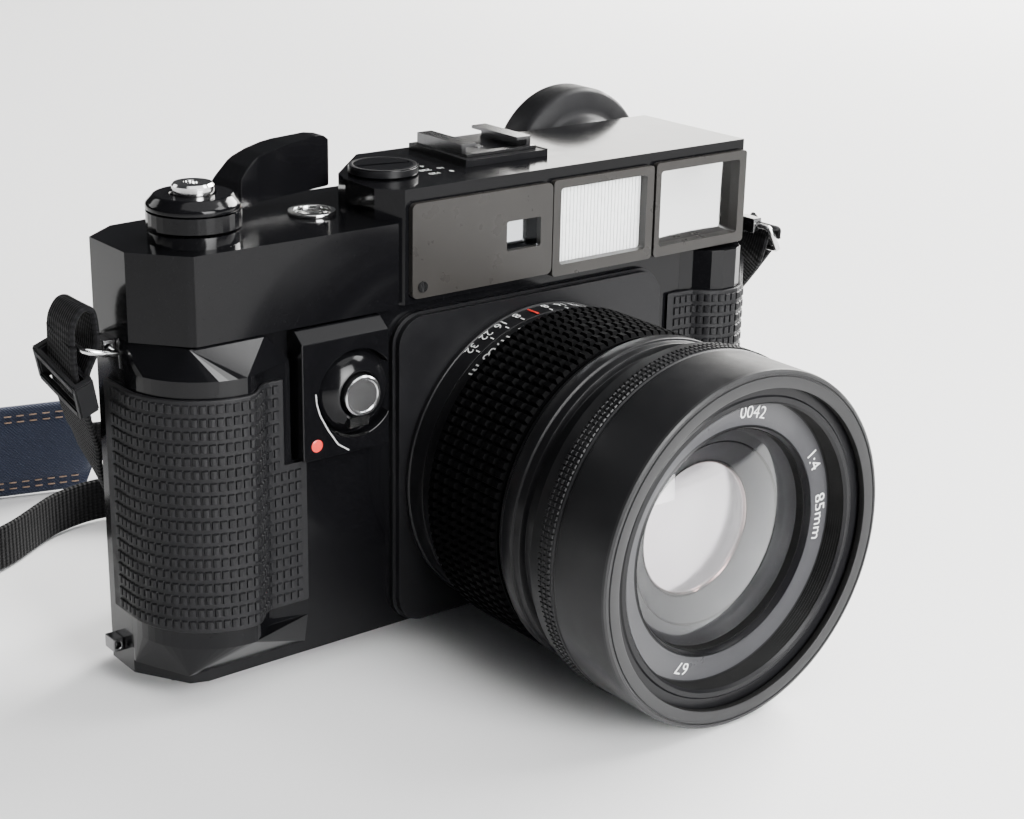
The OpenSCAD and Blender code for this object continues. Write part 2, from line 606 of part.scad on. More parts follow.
// the width lies along the ring at both ends and stands on edge along the floor
function lean(i) = let (u = i / (nl - 1)) u < 0.1 ? 0 : u < 0.19 ? (u - 0.1) / 0.09
  : u < 0.84 ? 1 : u < 0.95 ? 1 - (u - 0.84) / 0.11 : 0;
function wide(i) = let (t = tangent(i), a = lean(i) * 90, v = [0, cos(a), sin(a)])
  unit(v - (v * t) * t);
module band(i0, i1, w2, t2) {
  pts = [for (i = [i0 : i1]) let (w = wide(i), n = cross(tangent(i), w), a = w2 / 2, b = t2 / 2)
    each [line[i] + w * a + n * b, line[i] - w * a + n * b, line[i] - w * a - n * b,
    line[i] + w * a - n * b]];
  sides = [for (i = [0 : i1 - i0 - 1]) for (k = [0 : 3]) let (m = (k + 1) % 4)
    each [[4 * i + k, 4 * i + m, 4 * i + 4 + m], [4 * i + k, 4 * i + 4 + m, 4 * i + 4 + k]]];
  e = 4 * (i1 - i0);
  polyhedron(pts, concat(sides, [[0, 3, 2], [0, 2, 1], [e, e + 1, e + 2], [e, e + 2, e + 3]]));
}
module strap_webbing() color(black) {
  band(0, pad_from, web_w, web_t);
  band(pad_to, nl - 1, web_w, web_t);
}
module strap_pad() color([0.1, 0.14, 0.26]) band(pad_from, pad_to, pad_w, pad_t);

// one buckle with a slot round the webbing at ring i of the strap
module buckle(i) let (t = tangent(i), w = wide(i), n = cross(t, w), c = line[i])
  multmatrix([[w[0], t[0], n[0], c[0]], [w[1], t[1], n[1], c[1]], [w[2], t[2], n[2], c[2]]])
  difference() {
    box([-8.5, -5.3, -2.6], [8.5, 5.3, 2.6]);
    box([-6.6, -8, -1.5], [6.6, 8, 1.5]);
  }
module strap_sliders() color([0.1, 0.1, 0.1]) union() {
  buckle(3);
  buckle(nl - 5);
}
module strap_lugs() {
  lug_left();
  lug_right();
  lug_low();
}
module panel_screws() color([0.4, 0.4, 0.42]) difference() {
  rod_y(-34.6, 91, -21.8, cover_front + 1, 1.3);
  box([-34.85, -22, 89], [-34.35, -21.4, 93]);
}

body_casting();
base_cover();
tripod_bush();
grip_shell_left();
grip_shell_right();
grip_left();
grip_right();
top_cover();
finder_panel();
illum_frame();
finder_frame();
illum_window();
finder_window();
range_window();
eyepiece_ring();
eyepiece_lens();
eyecup();
shoe_base();
shoe_rails();
counter_bezel();
counter_disc();
lens_plate();
release_housing();
strap_lugs();
panel_screws();
ring_left();
ring_right();
roller_left();
roller_right();
lens_base();
focus_ring();
focus_rubber();
head_barrel();
shutter_unit();
shutter_ring();
aperture_ring();
front_cell();
front_lens();
rear_lens();
hood();
wind_lever();
wind_hub();
wind_shaft();
idler_gear();
takeup_drive();
takeup_spool();
supply_spool();
takeup_pin();
supply_pin();
top_button();
front_button();
lock_collar();
film_dial();
back_door();
hinge_pin();
pressure_plate();
door_latch();
strap_webbing();
strap_pad();
strap_sliders();
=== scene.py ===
"""Medium-format rangefinder camera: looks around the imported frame. Units are metres; tables are in mm."""
import json
import math

import bmesh
import bpy
from mathutils import Matrix, Vector


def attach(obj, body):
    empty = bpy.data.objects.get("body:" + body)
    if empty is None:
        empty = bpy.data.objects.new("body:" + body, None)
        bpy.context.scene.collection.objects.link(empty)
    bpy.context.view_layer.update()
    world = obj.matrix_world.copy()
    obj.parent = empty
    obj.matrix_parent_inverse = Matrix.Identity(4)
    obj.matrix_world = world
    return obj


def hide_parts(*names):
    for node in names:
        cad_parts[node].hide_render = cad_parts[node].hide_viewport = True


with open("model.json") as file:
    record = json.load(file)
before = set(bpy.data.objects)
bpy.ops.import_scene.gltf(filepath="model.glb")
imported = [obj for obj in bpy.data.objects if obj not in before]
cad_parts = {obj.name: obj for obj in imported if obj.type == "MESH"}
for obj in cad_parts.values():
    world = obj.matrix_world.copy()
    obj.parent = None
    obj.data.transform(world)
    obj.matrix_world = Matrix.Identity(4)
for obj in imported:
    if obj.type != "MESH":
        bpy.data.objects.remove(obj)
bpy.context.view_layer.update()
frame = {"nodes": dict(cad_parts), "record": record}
NODES = frame["nodes"]
MM = 0.001
LENS_Z = 42.2
TAU = 2 * math.pi


# ---------------------------------------------------------------- camera and light
# where the photograph was taken from (metres), and its angles in degrees: heading from +X, tilt up, roll
VIEWPOINT = (-0.28325, -0.3675, 0.2117)
HEADING, TILT, ROLL = 51.440, -19.452, 1.173
FOCAL_LENGTH = 67.15


def make_camera():
    """The photograph's viewing angle and lens."""
    cam = bpy.data.objects.new("view", bpy.data.cameras.new("view"))
    bpy.context.scene.collection.objects.link(cam)
    heading, tilt, roll = (math.radians(a) for a in (HEADING, TILT, ROLL))
    turn = (Matrix.Rotation(heading - math.pi / 2, 4, "Z") @ Matrix.Rotation(math.pi / 2 + tilt, 4, "X")
            @ Matrix.Rotation(roll, 4, "Z"))
    cam.matrix_world = Matrix.Translation(VIEWPOINT) @ turn
    cam.data.sensor_width = 36
    cam.data.lens = FOCAL_LENGTH
    cam.data.clip_start = 0.01
    cam.data.clip_end = 20
    bpy.context.scene.camera = cam


def area_light(name, loc, target, size, power, colour=(1, 1, 1)):
    lamp = bpy.data.lights.new(name, "AREA")
    lamp.shape = "RECTANGLE"
    lamp.size, lamp.size_y = size
    lamp.energy = power
    lamp.color = colour
    obj = bpy.data.objects.new(name, lamp)
    bpy.context.scene.collection.objects.link(obj)
    obj.location = loc
    obj.rotation_euler = (Vector(target) - Vector(loc)).to_track_quat("-Z", "Y").to_euler()
    return lamp


def make_light():
    world = bpy.data.worlds.new("studio")
    bpy.context.scene.world = world
    world.use_nodes = True
    back = world.node_tree.nodes["Background"]
    back.inputs["Color"].default_value = (0.87, 0.89, 0.93, 1)
    back.inputs["Strength"].default_value = 0.075
    area_light("window", (2.6, 0.5, 1.5), (0, 0, 0), (1.4, 1.1), 310, (1, 0.99, 0.97))
    area_light("overhead", (0.3, -0.5, 2.4), (0, 0, 0), (2.6, 2.2), 46)
    area_light("low_right", (1.2, 0.92, 0.46), (0, 0, 0.1), (0.75, 0.5), 9, (1, 0.98, 0.94))
    area_light("facet", (0.60, -0.42, 0.86), (-0.08, -0.03, 0.08), (0.36, 0.30), 5.5)
    area_light("back_fill", (-0.9, 1.9, 1.1), (0, 0, 0.06), (0.9, 0.7), 8)
    card = area_light("card", (0.02, -0.80, 0.30), (0, -0.08, 0.05), (0.42, 0.8), 5.0)
    card.spread = math.radians(70)


def make_floor():
    bpy.ops.mesh.primitive_plane_add(size=8, location=(0, 0, -0.0002))
    floor = bpy.context.object
    floor.name = "floor"
    mat = bpy.data.materials.new("floor")
    mat.use_nodes = True
    bsdf = mat.node_tree.nodes["Principled BSDF"]
    bsdf.inputs["Base Color"].default_value = (0.86, 0.86, 0.86, 1)
    bsdf.inputs["Roughness"].default_value = 0.6
    floor.data.materials.append(mat)


# ---------------------------------------------------------------- materials
class Nodes:
    """Short spelling for building one procedural material."""

    def __init__(self, name):
        self.mat = bpy.data.materials.new(name)
        self.mat.use_nodes = True
        self.tree = self.mat.node_tree
        self.bsdf = self.tree.nodes["Principled BSDF"]
        self.coord = self.add("ShaderNodeTexCoord").outputs["Object"]

    def add(self, kind, **values):
        node = self.tree.nodes.new(kind)
        for key, value in values.items():
            setattr(node, key, value)
        return node

    def put(self, socket, value):
        if isinstance(value, bpy.types.NodeSocket):
            self.tree.links.new(value, socket)
        else:
            socket.default_value = value

    def noise(self, scale, detail=4.0, rough=0.55, coord=None):
        node = self.add("ShaderNodeTexNoise")
        self.put(node.inputs["Vector"], coord or self.coord)
        self.put(node.inputs["Scale"], scale)
        self.put(node.inputs["Detail"], detail)
        self.put(node.inputs["Roughness"], rough)
        return node.outputs["Fac"]

    def ramp(self, fac, low, high, out_low, out_high):
        node = self.add("ShaderNodeMapRange")
        for key, value in (("Value", fac), ("From Min", low), ("From Max", high),
                           ("To Min", out_low), ("To Max", out_high)):
            self.put(node.inputs[key], value)
        return node.outputs["Result"]

    def mix(self, fac, a, b):
        node = self.add("ShaderNodeMix", data_type="RGBA")
        self.put(node.inputs[0], fac)
        self.put(node.inputs[6], a)
        self.put(node.inputs[7], b)
        return node.outputs[2]

    def math(self, op, a, b=0.0):
        node = self.add("ShaderNodeMath", operation=op)
        self.put(node.inputs[0], a)
        self.put(node.inputs[1], b)
        return node.outputs[0]

    def bump(self, height, strength, distance):
        node = self.add("ShaderNodeBump")
        self.put(node.inputs["Height"], height)
        self.put(node.inputs["Strength"], strength)
        self.put(node.inputs["Distance"], distance)
        self.put(self.bsdf.inputs["Normal"], node.outputs["Normal"])

    def axis(self, index, coord=None):
        node = self.add("ShaderNodeSeparateXYZ")
        self.put(node.inputs[0], coord or self.coord)
        return node.outputs[index]

    def uv(self):
        return self.add("ShaderNodeUVMap", uv_map="UVMap").outputs["UV"]

    def done(self, colour=None, rough=None, **fixed):
        if colour is not None:
            self.put(self.bsdf.inputs["Base Color"], colour)
        if rough is not None:
            self.put(self.bsdf.inputs["Roughness"], rough)
        for key, value in fixed.items():
            self.bsdf.inputs[key.replace("_", " ")].default_value = value
        return self.mat


def rgb(r, g, b):
    return (r, g, b, 1)


def painted(name, low, high, rough, grain=9000, strength=0.08, coat=0.0, shine=0.5):
    """Sprayed paint: mottled colour, orange peel and faint dust."""
    m = Nodes(name)
    cloud = m.noise(60, 3)
    dust = m.ramp(m.noise(2600, 2), 0.66, 0.78, 0, 0.35)
    colour = m.mix(cloud, rgb(*low), rgb(*high))
    colour = m.mix(dust, colour, rgb(*[min(1, c * 2.2 + 0.012) for c in high]))
    roughness = m.ramp(m.noise(180, 5), 0.3, 0.7, rough * 0.85, rough * 1.18)
    m.bump(m.noise(grain, 2), strength, 0.00006)
    fixed = {"Coat_Weight": coat, "Coat_Roughness": 0.06} if coat else {}
    fixed["Specular_IOR_Level"] = shine
    return m.done(colour, roughness, **fixed)


def make_paints():
    gloss = painted("gloss_black", (0.002, 0.002, 0.0025), (0.004, 0.004, 0.0045), 0.15,
                    grain=1500, strength=0.03, coat=0.12, shine=0.14)
    cover = painted("cover_black", (0.002, 0.002, 0.0025), (0.004, 0.004, 0.0045), 0.13,
                    grain=2500, strength=0.02, coat=0.08, shine=0.12)
    satin = painted("satin_black", (0.004, 0.004, 0.0045), (0.008, 0.008, 0.009), 0.34,
                    grain=5000, strength=0.12, shine=0.2)
    matte = painted("inner_black", (0.003, 0.003, 0.003), (0.006, 0.006, 0.006), 0.62,
                    grain=4000, strength=0.2, shine=0.15)
    hood = painted("hood_black", (0.006, 0.006, 0.0065), (0.010, 0.010, 0.011), 0.38,
                   grain=7000, strength=0.15, shine=0.24)
    bronze = painted("bronze_trim", (0.016, 0.015, 0.014), (0.028, 0.026, 0.024), 0.3,
                     grain=5000, strength=0.1, shine=0.3)
    back = painted("back_black", (0.006, 0.006, 0.0065), (0.012, 0.012, 0.013), 0.5,
                   grain=1400, strength=0.5, shine=0.25)
    plastic = painted("spool_plastic", (0.007, 0.007, 0.0075), (0.012, 0.012, 0.013), 0.45,
                      grain=3000, strength=0.25, shine=0.2)
    rim = painted("rim_grey", (0.012, 0.012, 0.0125), (0.020, 0.020, 0.021), 0.36,
                  grain=6000, strength=0.1, shine=0.3)
    # painted reflection: the name ring's black finish is given a grey base colour to stand for its sheen and
    # to lift it out of the hood's shade; the coat adds real gloss
    inset = painted("ring_grey", (0.045, 0.045, 0.048), (0.06, 0.06, 0.064), 0.32,
                    grain=5000, strength=0.08, coat=0.1, shine=0.3)
    dark = painted("ring_rubber", (0.0015, 0.0015, 0.0016), (0.003, 0.003, 0.0033), 0.55,
                   grain=3500, strength=0.25, shine=0.02)
    return {"gloss_black": gloss, "satin_black": satin, "inner_black": matte, "hood_black": hood,
            "bronze_trim": bronze, "back_black": back, "spool_plastic": plastic,
            "rim_grey": rim, "ring_grey": inset, "ring_rubber": dark, "cover_black": cover}


def make_metal(name, low, high, rough, turned=False):
    """Bare or plated metal, finely brushed in one direction when turned."""
    m = Nodes(name)
    if turned:
        stretch = m.add("ShaderNodeMapping")
        m.put(stretch.inputs["Vector"], m.coord)
        stretch.inputs["Scale"].default_value = (1, 30, 1)
        lines = m.noise(2500, 3, coord=stretch.outputs[0])
    else:
        lines = m.noise(900, 5)
    spot = m.ramp(m.noise(300, 4), 0.35, 0.75, 0, 1)
    spread = 0.12 if turned else 0.35
    roughness = m.ramp(lines, 0.3, 0.7, rough * (1 - spread), rough * (1 + spread))
    m.bump(lines, 0.02 if turned else 0.06, 0.00004)
    return m.done(m.mix(spot, rgb(*low), rgb(*high)), roughness, Metallic=1.0)


def make_rubber():
    m = Nodes("grip_rubber")
    cloud = m.noise(90, 4)
    dust = m.ramp(m.noise(3200, 3), 0.6, 0.75, 0, 0.4)
    colour = m.mix(cloud, rgb(0.004, 0.004, 0.0045), rgb(0.009, 0.009, 0.010))
    colour = m.mix(dust, colour, rgb(0.03, 0.03, 0.032))
    m.bump(m.noise(3500, 3), 0.3, 0.00008)
    return m.done(colour, m.ramp(m.noise(250, 4), 0.3, 0.7, 0.42, 0.62), Specular_IOR_Level=0.2)


def make_glass(name, tint, rough=0.02):
    m = Nodes(name)
    smear = m.ramp(m.noise(70, 5), 0.45, 0.8, rough, rough + 0.05)
    fixed = {"Transmission_Weight": 1.0, "IOR": 1.5}
    return m.done(m.mix(m.noise(40, 2), rgb(*tint), rgb(*[c * 0.97 for c in tint])), smear, **fixed)


def make_coated(name, low, high, rough, metallic):
    """Coated or silvered glass, and the seats between the lenses: a tint and a share of mirror."""
    m = Nodes(name)
    zone = m.ramp(m.noise(25, 2), 0.35, 0.65, 0, 1)
    return m.done(m.mix(zone, rgb(*low), rgb(*high)), m.ramp(m.noise(90, 3), 0.3, 0.8, rough, rough * 2),
                  Metallic=metallic)


def make_ribbed_white():
    """White diffuser with fine upright ribs, and painted shade that greys it towards the bottom."""
    m = Nodes("white_diffuser")
    colour = m.mix(m.noise(300, 3), rgb(0.88, 0.90, 0.90), rgb(0.95, 0.96, 0.95))
    # painted shade: the colour is mixed towards grey over the lowest part of the pane, darker towards the
    # bottom
    shade = m.mix(m.ramp(m.axis(2), 0.089, 0.110, 0.08, 0), colour, rgb(0.60, 0.62, 0.63))
    return m.done(shade, m.ramp(m.noise(400, 2), 0.3, 0.7, 0.22, 0.4))


def make_webbing():
    """Ribbed nylon: cross ribs and a fine warp, from the strap's own lengths in UV (mm)."""
    m = Nodes("webbing")
    uv = m.uv()
    along = m.axis(1, uv)
    across = m.axis(0, uv)
    rib = m.math("SINE", m.math("MULTIPLY", along, TAU / 1.5))
    warp = m.math("SINE", m.math("MULTIPLY", across, TAU / 0.9))
    height = m.math("ADD", m.math("MULTIPLY", rib, 0.6), m.math("MULTIPLY", warp, 0.4))
    fuzz = m.noise(2500, 4)
    height = m.math("ADD", height, m.math("MULTIPLY", fuzz, 0.8))
    # painted shade: the colour follows the weave height, darker in the grooves and lighter on the crests;
    # the fuzz in the height adds random tone
    colour = m.mix(m.ramp(height, -0.6, 1.6, 0, 1), rgb(0.0008, 0.0008, 0.001), rgb(0.007, 0.007, 0.008))
    m.bump(height, 0.7, 0.00025)
    return m.done(colour, m.ramp(fuzz, 0.3, 0.7, 0.6, 0.85), Sheen_Weight=0.02, Sheen_Roughness=0.5,
                  Specular_IOR_Level=0.12)


def make_denim():
    """Blue twill with pale flecks, from UV in mm."""
    m = Nodes("denim")
    uv = m.uv()
    across, along = m.axis(0, uv), m.axis(1, uv)
    slant = m.math("ADD", m.math("MULTIPLY", along, 1.0), m.math("MULTIPLY", across, 1.0))
    twill = m.math("SINE", m.math("MULTIPLY", slant, TAU / 1.0))
    warp = m.math("SINE", m.math("MULTIPLY", across, TAU / 0.55))
    fleck = m.noise(1100, 5, 0.7)
    weave = m.math("ADD", m.math("MULTIPLY", twill, 0.6), m.math("MULTIPLY", warp, 0.3))
    body = m.mix(m.noise(120, 4), rgb(0.009, 0.014, 0.036), rgb(0.017, 0.026, 0.060))
    pale = m.mix(fleck, rgb(0.035, 0.05, 0.09), rgb(0.12, 0.145, 0.20))
    colour = m.mix(m.math("MULTIPLY", m.ramp(weave, 0.1, 0.9, 0, 1), m.ramp(fleck, 0.4, 0.66, 0, 0.8)),
                   body, pale)
    m.bump(m.math("ADD", weave, fleck), 0.6, 0.00022)
    return m.done(colour, m.ramp(fleck, 0.3, 0.7, 0.75, 0.92), Sheen_Weight=0.2, Sheen_Roughness=0.5)


def make_thread(name, low, high):
    m = Nodes(name)
    colour = m.mix(m.noise(1800, 4), rgb(*low), rgb(*high))
    return m.done(colour, m.ramp(m.noise(900, 2), 0.3, 0.7, 0.5, 0.75))


def make_ink(name, low, high, rough=0.5):
    m = Nodes(name)
    colour = m.mix(m.noise(1500, 3), rgb(*low), rgb(*high))
    return m.done(colour, m.ramp(m.noise(700, 2), 0.3, 0.7, rough, rough * 1.2))


MATS = {}


def make_materials():
    MATS.update(make_paints())
    MATS["grip_rubber"] = make_rubber()
    MATS["chrome"] = make_metal("chrome", (0.62, 0.62, 0.62), (0.76, 0.76, 0.75), 0.16)
    MATS["steel"] = make_metal("steel", (0.12, 0.12, 0.125), (0.16, 0.16, 0.16), 0.22, True)
    MATS["turned"] = make_metal("turned_metal", (0.62, 0.62, 0.63), (0.68, 0.68, 0.68), 0.24, True)
    MATS["clear_glass"] = make_glass("clear_glass", (0.95, 0.97, 0.97))
    MATS["dark_glass"] = make_glass("dark_glass", (0.55, 0.58, 0.6))
    MATS["coat_pink"] = make_coated("coat_pink", (0.80, 0.71, 0.75), (0.94, 0.88, 0.91), 0.10, 0.75)
    MATS["coat_grey"] = make_coated("coat_grey", (0.014, 0.013, 0.016), (0.022, 0.020, 0.024), 0.4, 0.0)
    MATS["coat_brown"] = make_coated("coat_brown", (0.34, 0.24, 0.23), (0.50, 0.38, 0.37), 0.12, 0.9)
    MATS["silvered"] = make_coated("silvered_glass", (0.86, 0.87, 0.87), (0.93, 0.94, 0.94), 0.06, 1.0)
    MATS["half_silvered"] = make_coated("half_silvered", (0.50, 0.52, 0.54), (0.60, 0.62, 0.64), 0.06, 1.0)
    MATS["white_diffuser"] = make_ribbed_white()
    MATS["webbing"] = make_webbing()
    MATS["denim"] = make_denim()
    MATS["orange_thread"] = make_thread("orange_thread", (0.30, 0.19, 0.13), (0.46, 0.33, 0.25))
    MATS["white_ink"] = make_ink("white_ink", (0.62, 0.63, 0.62), (0.78, 0.79, 0.78))
    MATS["grey_ink"] = make_ink("grey_ink", (0.30, 0.30, 0.30), (0.42, 0.42, 0.42))
    MATS["red_ink"] = make_ink("red_ink", (0.50, 0.02, 0.015), (0.66, 0.04, 0.03), 0.35)
    MATS["orange_ink"] = make_ink("orange_ink", (0.75, 0.28, 0.05), (0.85, 0.36, 0.08), 0.4)


# ---------------------------------------------------------------- mesh helpers
def new_piece(name, verts, faces, body, mats, sharp=32.0, smooth=True, face_mats=None):
    """A mesh from points in mm, finished, shaded and riding on a body."""
    mesh = bpy.data.meshes.new(name)
    mesh.from_pydata([[c * MM for c in v] for v in verts], [], faces)
    mesh.update()
    obj = bpy.data.objects.new(name, mesh)
    bpy.context.scene.collection.objects.link(obj)
    for mat in mats:
        mesh.materials.append(MATS[mat])
    if face_mats:
        mesh.polygons.foreach_set("material_index", face_mats)
    tidy(mesh, sharp, smooth)
    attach(obj, body)
    return obj


def tidy(mesh, sharp=32.0, smooth=True):
    bm = bmesh.new()
    bm.from_mesh(mesh)
    bmesh.ops.remove_doubles(bm, verts=bm.verts, dist=1e-7)
    bmesh.ops.recalc_face_normals(bm, faces=bm.faces)
    bm.to_mesh(mesh)
    bm.free()
    if smooth:
        mesh.shade_smooth()
        mesh.set_sharp_from_angle(angle=math.radians(sharp))
    mesh.update()


def lathe(name, profile, body, mats, axis="lens", centre=(0, 0), steps=192,
          face_mats=None, sharp=28.0):
    """A closed profile of (radius, height) in mm turned about the lens axis, one along Y or one along Z."""
    verts, faces, rows = [], [], len(profile)
    for k in range(steps):
        a = TAU * k / steps
        for r, h in profile:
            if axis == "lens":
                verts.append((r * math.cos(a), h, LENS_Z + r * math.sin(a)))
            elif axis == "y":
                verts.append((centre[0] + r * math.cos(a), h, centre[1] + r * math.sin(a)))
            else:
                verts.append((centre[0] + r * math.cos(a), centre[1] + r * math.sin(a), h))
    marks = []
    for k in range(steps):
        n = (k + 1) % steps
        for j in range(rows):
            m = (j + 1) % rows
            faces.append((k * rows + j, k * rows + m, n * rows + m, n * rows + j))
            marks.append(face_mats[j] if face_mats else 0)
    return new_piece(name, verts, faces, body, mats, sharp, True, marks if face_mats else None)


def join_boxes(name, boxes, body, mats):
    """Many small solids, each a list of 8 corners, as one piece."""
    verts, faces = [], []
    for corners in boxes:
        b = len(verts)
        verts.extend(corners)
        faces += [(b, b + 3, b + 2, b + 1), (b + 4, b + 5, b + 6, b + 7), (b, b + 1, b + 5, b + 4),
                  (b + 1, b + 2, b + 6, b + 5), (b + 2, b + 3, b + 7, b + 6), (b + 3, b, b + 4, b + 7)]
    mesh = bpy.data.meshes.new(name)
    mesh.from_pydata([[c * MM for c in v] for v in verts], [], faces)
    for mat in mats:
        mesh.materials.append(MATS[mat])
    obj = bpy.data.objects.new(name, mesh)
    bpy.context.scene.collection.objects.link(obj)
    bm = bmesh.new()
    bm.from_mesh(mesh)
    bmesh.ops.recalc_face_normals(bm, faces=bm.faces)
    bm.to_mesh(mesh)
    bm.free()
    mesh.update()
    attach(obj, body)
    return obj


def text_piece(name, items, body, mat):
    """Flat figures. Each item is (text, height in mm, place), place turning (u, v, w) into a point."""
    verts, faces = [], []
    for text, size, place in items:
        curve = bpy.data.curves.new("figure", "FONT")
        curve.body = text
        curve.size = size
        curve.align_x = "CENTER"
        curve.align_y = "CENTER"
        curve.resolution_u = 3
        holder = bpy.data.objects.new("figure", curve)
        bpy.context.scene.collection.objects.link(holder)
        mesh = bpy.data.meshes.new_from_object(holder)
        base = len(verts)
        verts += [place(v.co.x, v.co.y) for v in mesh.vertices]
        faces += [tuple(base + i for i in p.vertices) for p in mesh.polygons]
        bpy.data.objects.remove(holder)
        bpy.data.curves.remove(curve)
        bpy.data.meshes.remove(mesh)
    mesh = bpy.data.meshes.new(name)
    mesh.from_pydata([[c * MM for c in v] for v in verts], [], faces)
    mesh.materials.append(MATS[mat])
    mesh.update()
    obj = bpy.data.objects.new(name, mesh)
    bpy.context.scene.collection.objects.link(obj)
    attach(obj, body)
    return obj


def on_barrel(phi, y, r):
    """Figures on a ring of the lens; phi in degrees from the top towards -X, tops to the front."""
    def place(u, v):
        a = math.radians(phi) + u / r
        return (-r * math.sin(a), y - v, LENS_Z + r * math.cos(a))
    return place


def on_front(angle, r, y):
    """Figures round the name ring, read clockwise from the front, tops outward."""
    def place(u, v):
        a = math.radians(angle) - u / r
        return ((r + v) * math.cos(a), y, LENS_Z + (r + v) * math.sin(a))
    return place


def on_roof(x, y, z):
    """Figures lying flat, tops to the front."""
    def place(u, v):
        return (x - u, y - v, z)
    return place


# ---------------------------------------------------------------- the strap
ROUTE = [(-114.8, 0, 88), (-113.6, 2.6, 80.4), (-110.8, 6.4, 72.8), (-107.2, 11, 65.2),
         (-103, 16.4, 57), (-98, 22.5, 46.8), (-88.5, 28.5, 34), (-74, 33.6, 20),
         (-50.5, 40.1, 10.4), (-38.7, 52.9, 7), (-36.4, 70.2, 6.6), (-44.5, 85.7, 6.6),
         (-60, 93.8, 6.6), (-77.3, 91.5, 6.6), (-102, 77.2, 6.6), (-130, 74.6, 8), (-156, 78, 12),
         (-176, 78.6, 13.9), (-196, 85.1, 13.9), (-208.3, 102.1, 13.9), (-208.3, 123.1, 13.9),
         (-196, 140.1, 13.9), (-176, 146.6, 13.9), (-152, 145.8, 13.9), (-128, 141, 13.9),
         (-104, 133.5, 13.9), (-78, 126, 13.9), (-53, 119, 13.9), (-27, 117, 11.2), (0, 121, 7.4),
         (30, 126, 6.6), (60, 125, 6.6), (85, 113, 6.8), (100.5, 93.5, 9.2), (107.5, 72, 17.5),
         (109, 51, 33), (106.2, 32, 50), (102.4, 14.5, 66), (99.9, 0.5, 81.5)]
PAD_FROM, PAD_TO = 17.5, 27.0
WEB_WIDTH = 12
# the folded-back ends of the webbing, from the lug through the ring to the buckle
LOOP_LEFT = [(-114.9, 0, 87.5), (-114.6, -0.3, 91.5), (-112.6, -0.6, 94.6), (-110.2, -0.4, 94.0),
             (-109.2, 0, 90), (-109.3, 0.2, 85.5), (-110.6, 1.8, 80.6), (-110.9, 4.6, 76),
             (-109.3, 7.6, 71.4)]
LOOP_RIGHT = [(99.9, 0.4, 81), (99.2, 0, 82.6), (97.6, -0.2, 83.1), (95.6, 0, 82.0), (94.8, 0.4, 79),
              (95.3, 2.6, 75.4), (97.7, 8, 70.6), (100.3, 14.5, 65), (102.6, 22.6, 57.6)]


def spline(pts, t):
    """Catmull-Rom point at t, counted in control points."""
    i = min(int(t), len(pts) - 2)
    f = t - i
    a, b = Vector(pts[max(i - 1, 0)]), Vector(pts[i])
    c, d = Vector(pts[i + 1]), Vector(pts[min(i + 2, len(pts) - 1)])
    return 0.5 * ((2 * b) + (c - a) * f + (2 * a - 5 * b + 4 * c - d) * f * f
                  + (3 * b - a - 3 * c + d) * f ** 3)


def lean(u):
    """How far the webbing stands on its edge, from 0 by the lugs to 1 on the floor."""
    if u < 0.1:
        return 0.0
    if u < 0.19:
        return (u - 0.1) / 0.09
    if u < 0.84:
        return 1.0
    return max(0.0, 1 - (u - 0.84) / 0.11)


def strap_frame(t, pts=ROUTE, flat=None):
    """Centre, tangent, width direction and normal of the strap at t."""
    last = len(pts) - 1
    tangent = (spline(pts, min(t + 0.05, last)) - spline(pts, max(t - 0.05, 0))).normalized()
    a = math.radians(90 * (lean(t / last) if flat is None else flat))
    v = Vector((0, math.cos(a), math.sin(a)))
    w = (v - v.dot(tangent) * tangent).normalized()
    return spline(pts, t), tangent, w, tangent.cross(w).normalized()


def ribbon(name, pts, t0, t1, steps, section, mats, flat=None, end_scale=None):
    """Sweeps a closed section of (across, out) along the strap, with UV in mm."""
    n, verts, faces, uvs = len(section), [], [], []
    length, prev = 0.0, None
    girth = [0.0]
    for k in range(n):
        a, b = section[k], section[(k + 1) % n]
        girth.append(girth[-1] + math.hypot(b[0] - a[0], b[1] - a[1]))
    rows = []
    for s in range(steps + 1):
        c, _, w, m = strap_frame(t0 + (t1 - t0) * s / steps, pts, flat)
        if prev is not None:
            length += (c - prev).length
        prev = c
        rows.append((c, w, m, length))
    for c, w, m, run in rows:
        scale = end_scale(run, length) if end_scale else (1, 1)
        for x, o in section:
            verts.append(tuple(c + w * x * scale[0] + m * (o * scale[1])))
    for s in range(steps):
        for k in range(n):
            m = (k + 1) % n
            faces.append((s * n + k, s * n + m, s * n + n + m, s * n + n + k))
            uvs.append([(girth[k], rows[s][3]), (girth[k + 1], rows[s][3]),
                        (girth[k + 1], rows[s + 1][3]), (girth[k], rows[s + 1][3])])
    for ring, order in ((0, range(n - 1, -1, -1)), (steps, range(n))):
        faces.append(tuple(ring * n + k for k in order))
        uvs.append([(section[k][0], rows[ring][3]) for k in order])
    mesh = bpy.data.meshes.new(name)
    mesh.from_pydata([[c * MM for c in v] for v in verts], [], faces)
    layer = mesh.uv_layers.new(name="UVMap")
    i = 0
    for poly in uvs:
        for uv in poly:
            layer.data[i].uv = uv
            i += 1
    for mat in mats:
        mesh.materials.append(MATS[mat])
    bm = bmesh.new()
    bm.from_mesh(mesh)
    bmesh.ops.recalc_face_normals(bm, faces=bm.faces)
    bm.to_mesh(mesh)
    bm.free()
    mesh.shade_smooth()
    mesh.set_sharp_from_angle(angle=math.radians(50))
    obj = bpy.data.objects.new(name, mesh)
    bpy.context.scene.collection.objects.link(obj)
    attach(obj, "camera")
    return obj


def round_section(width, thick, corner=5):
    """A flat section with rounded edges."""
    r, pts = thick / 2, []
    for side in (1, -1):
        for k in range(corner + 1):
            a = math.radians(90 * side - 180 * k / corner)
            pts.append((side * (width / 2 - r) + r * math.cos(a), r * math.sin(a)))
        for k in range(1, 6):
            pts.append((side * (width / 2 - r) * (1 - 2 * k / 6), -side * r))
    return pts


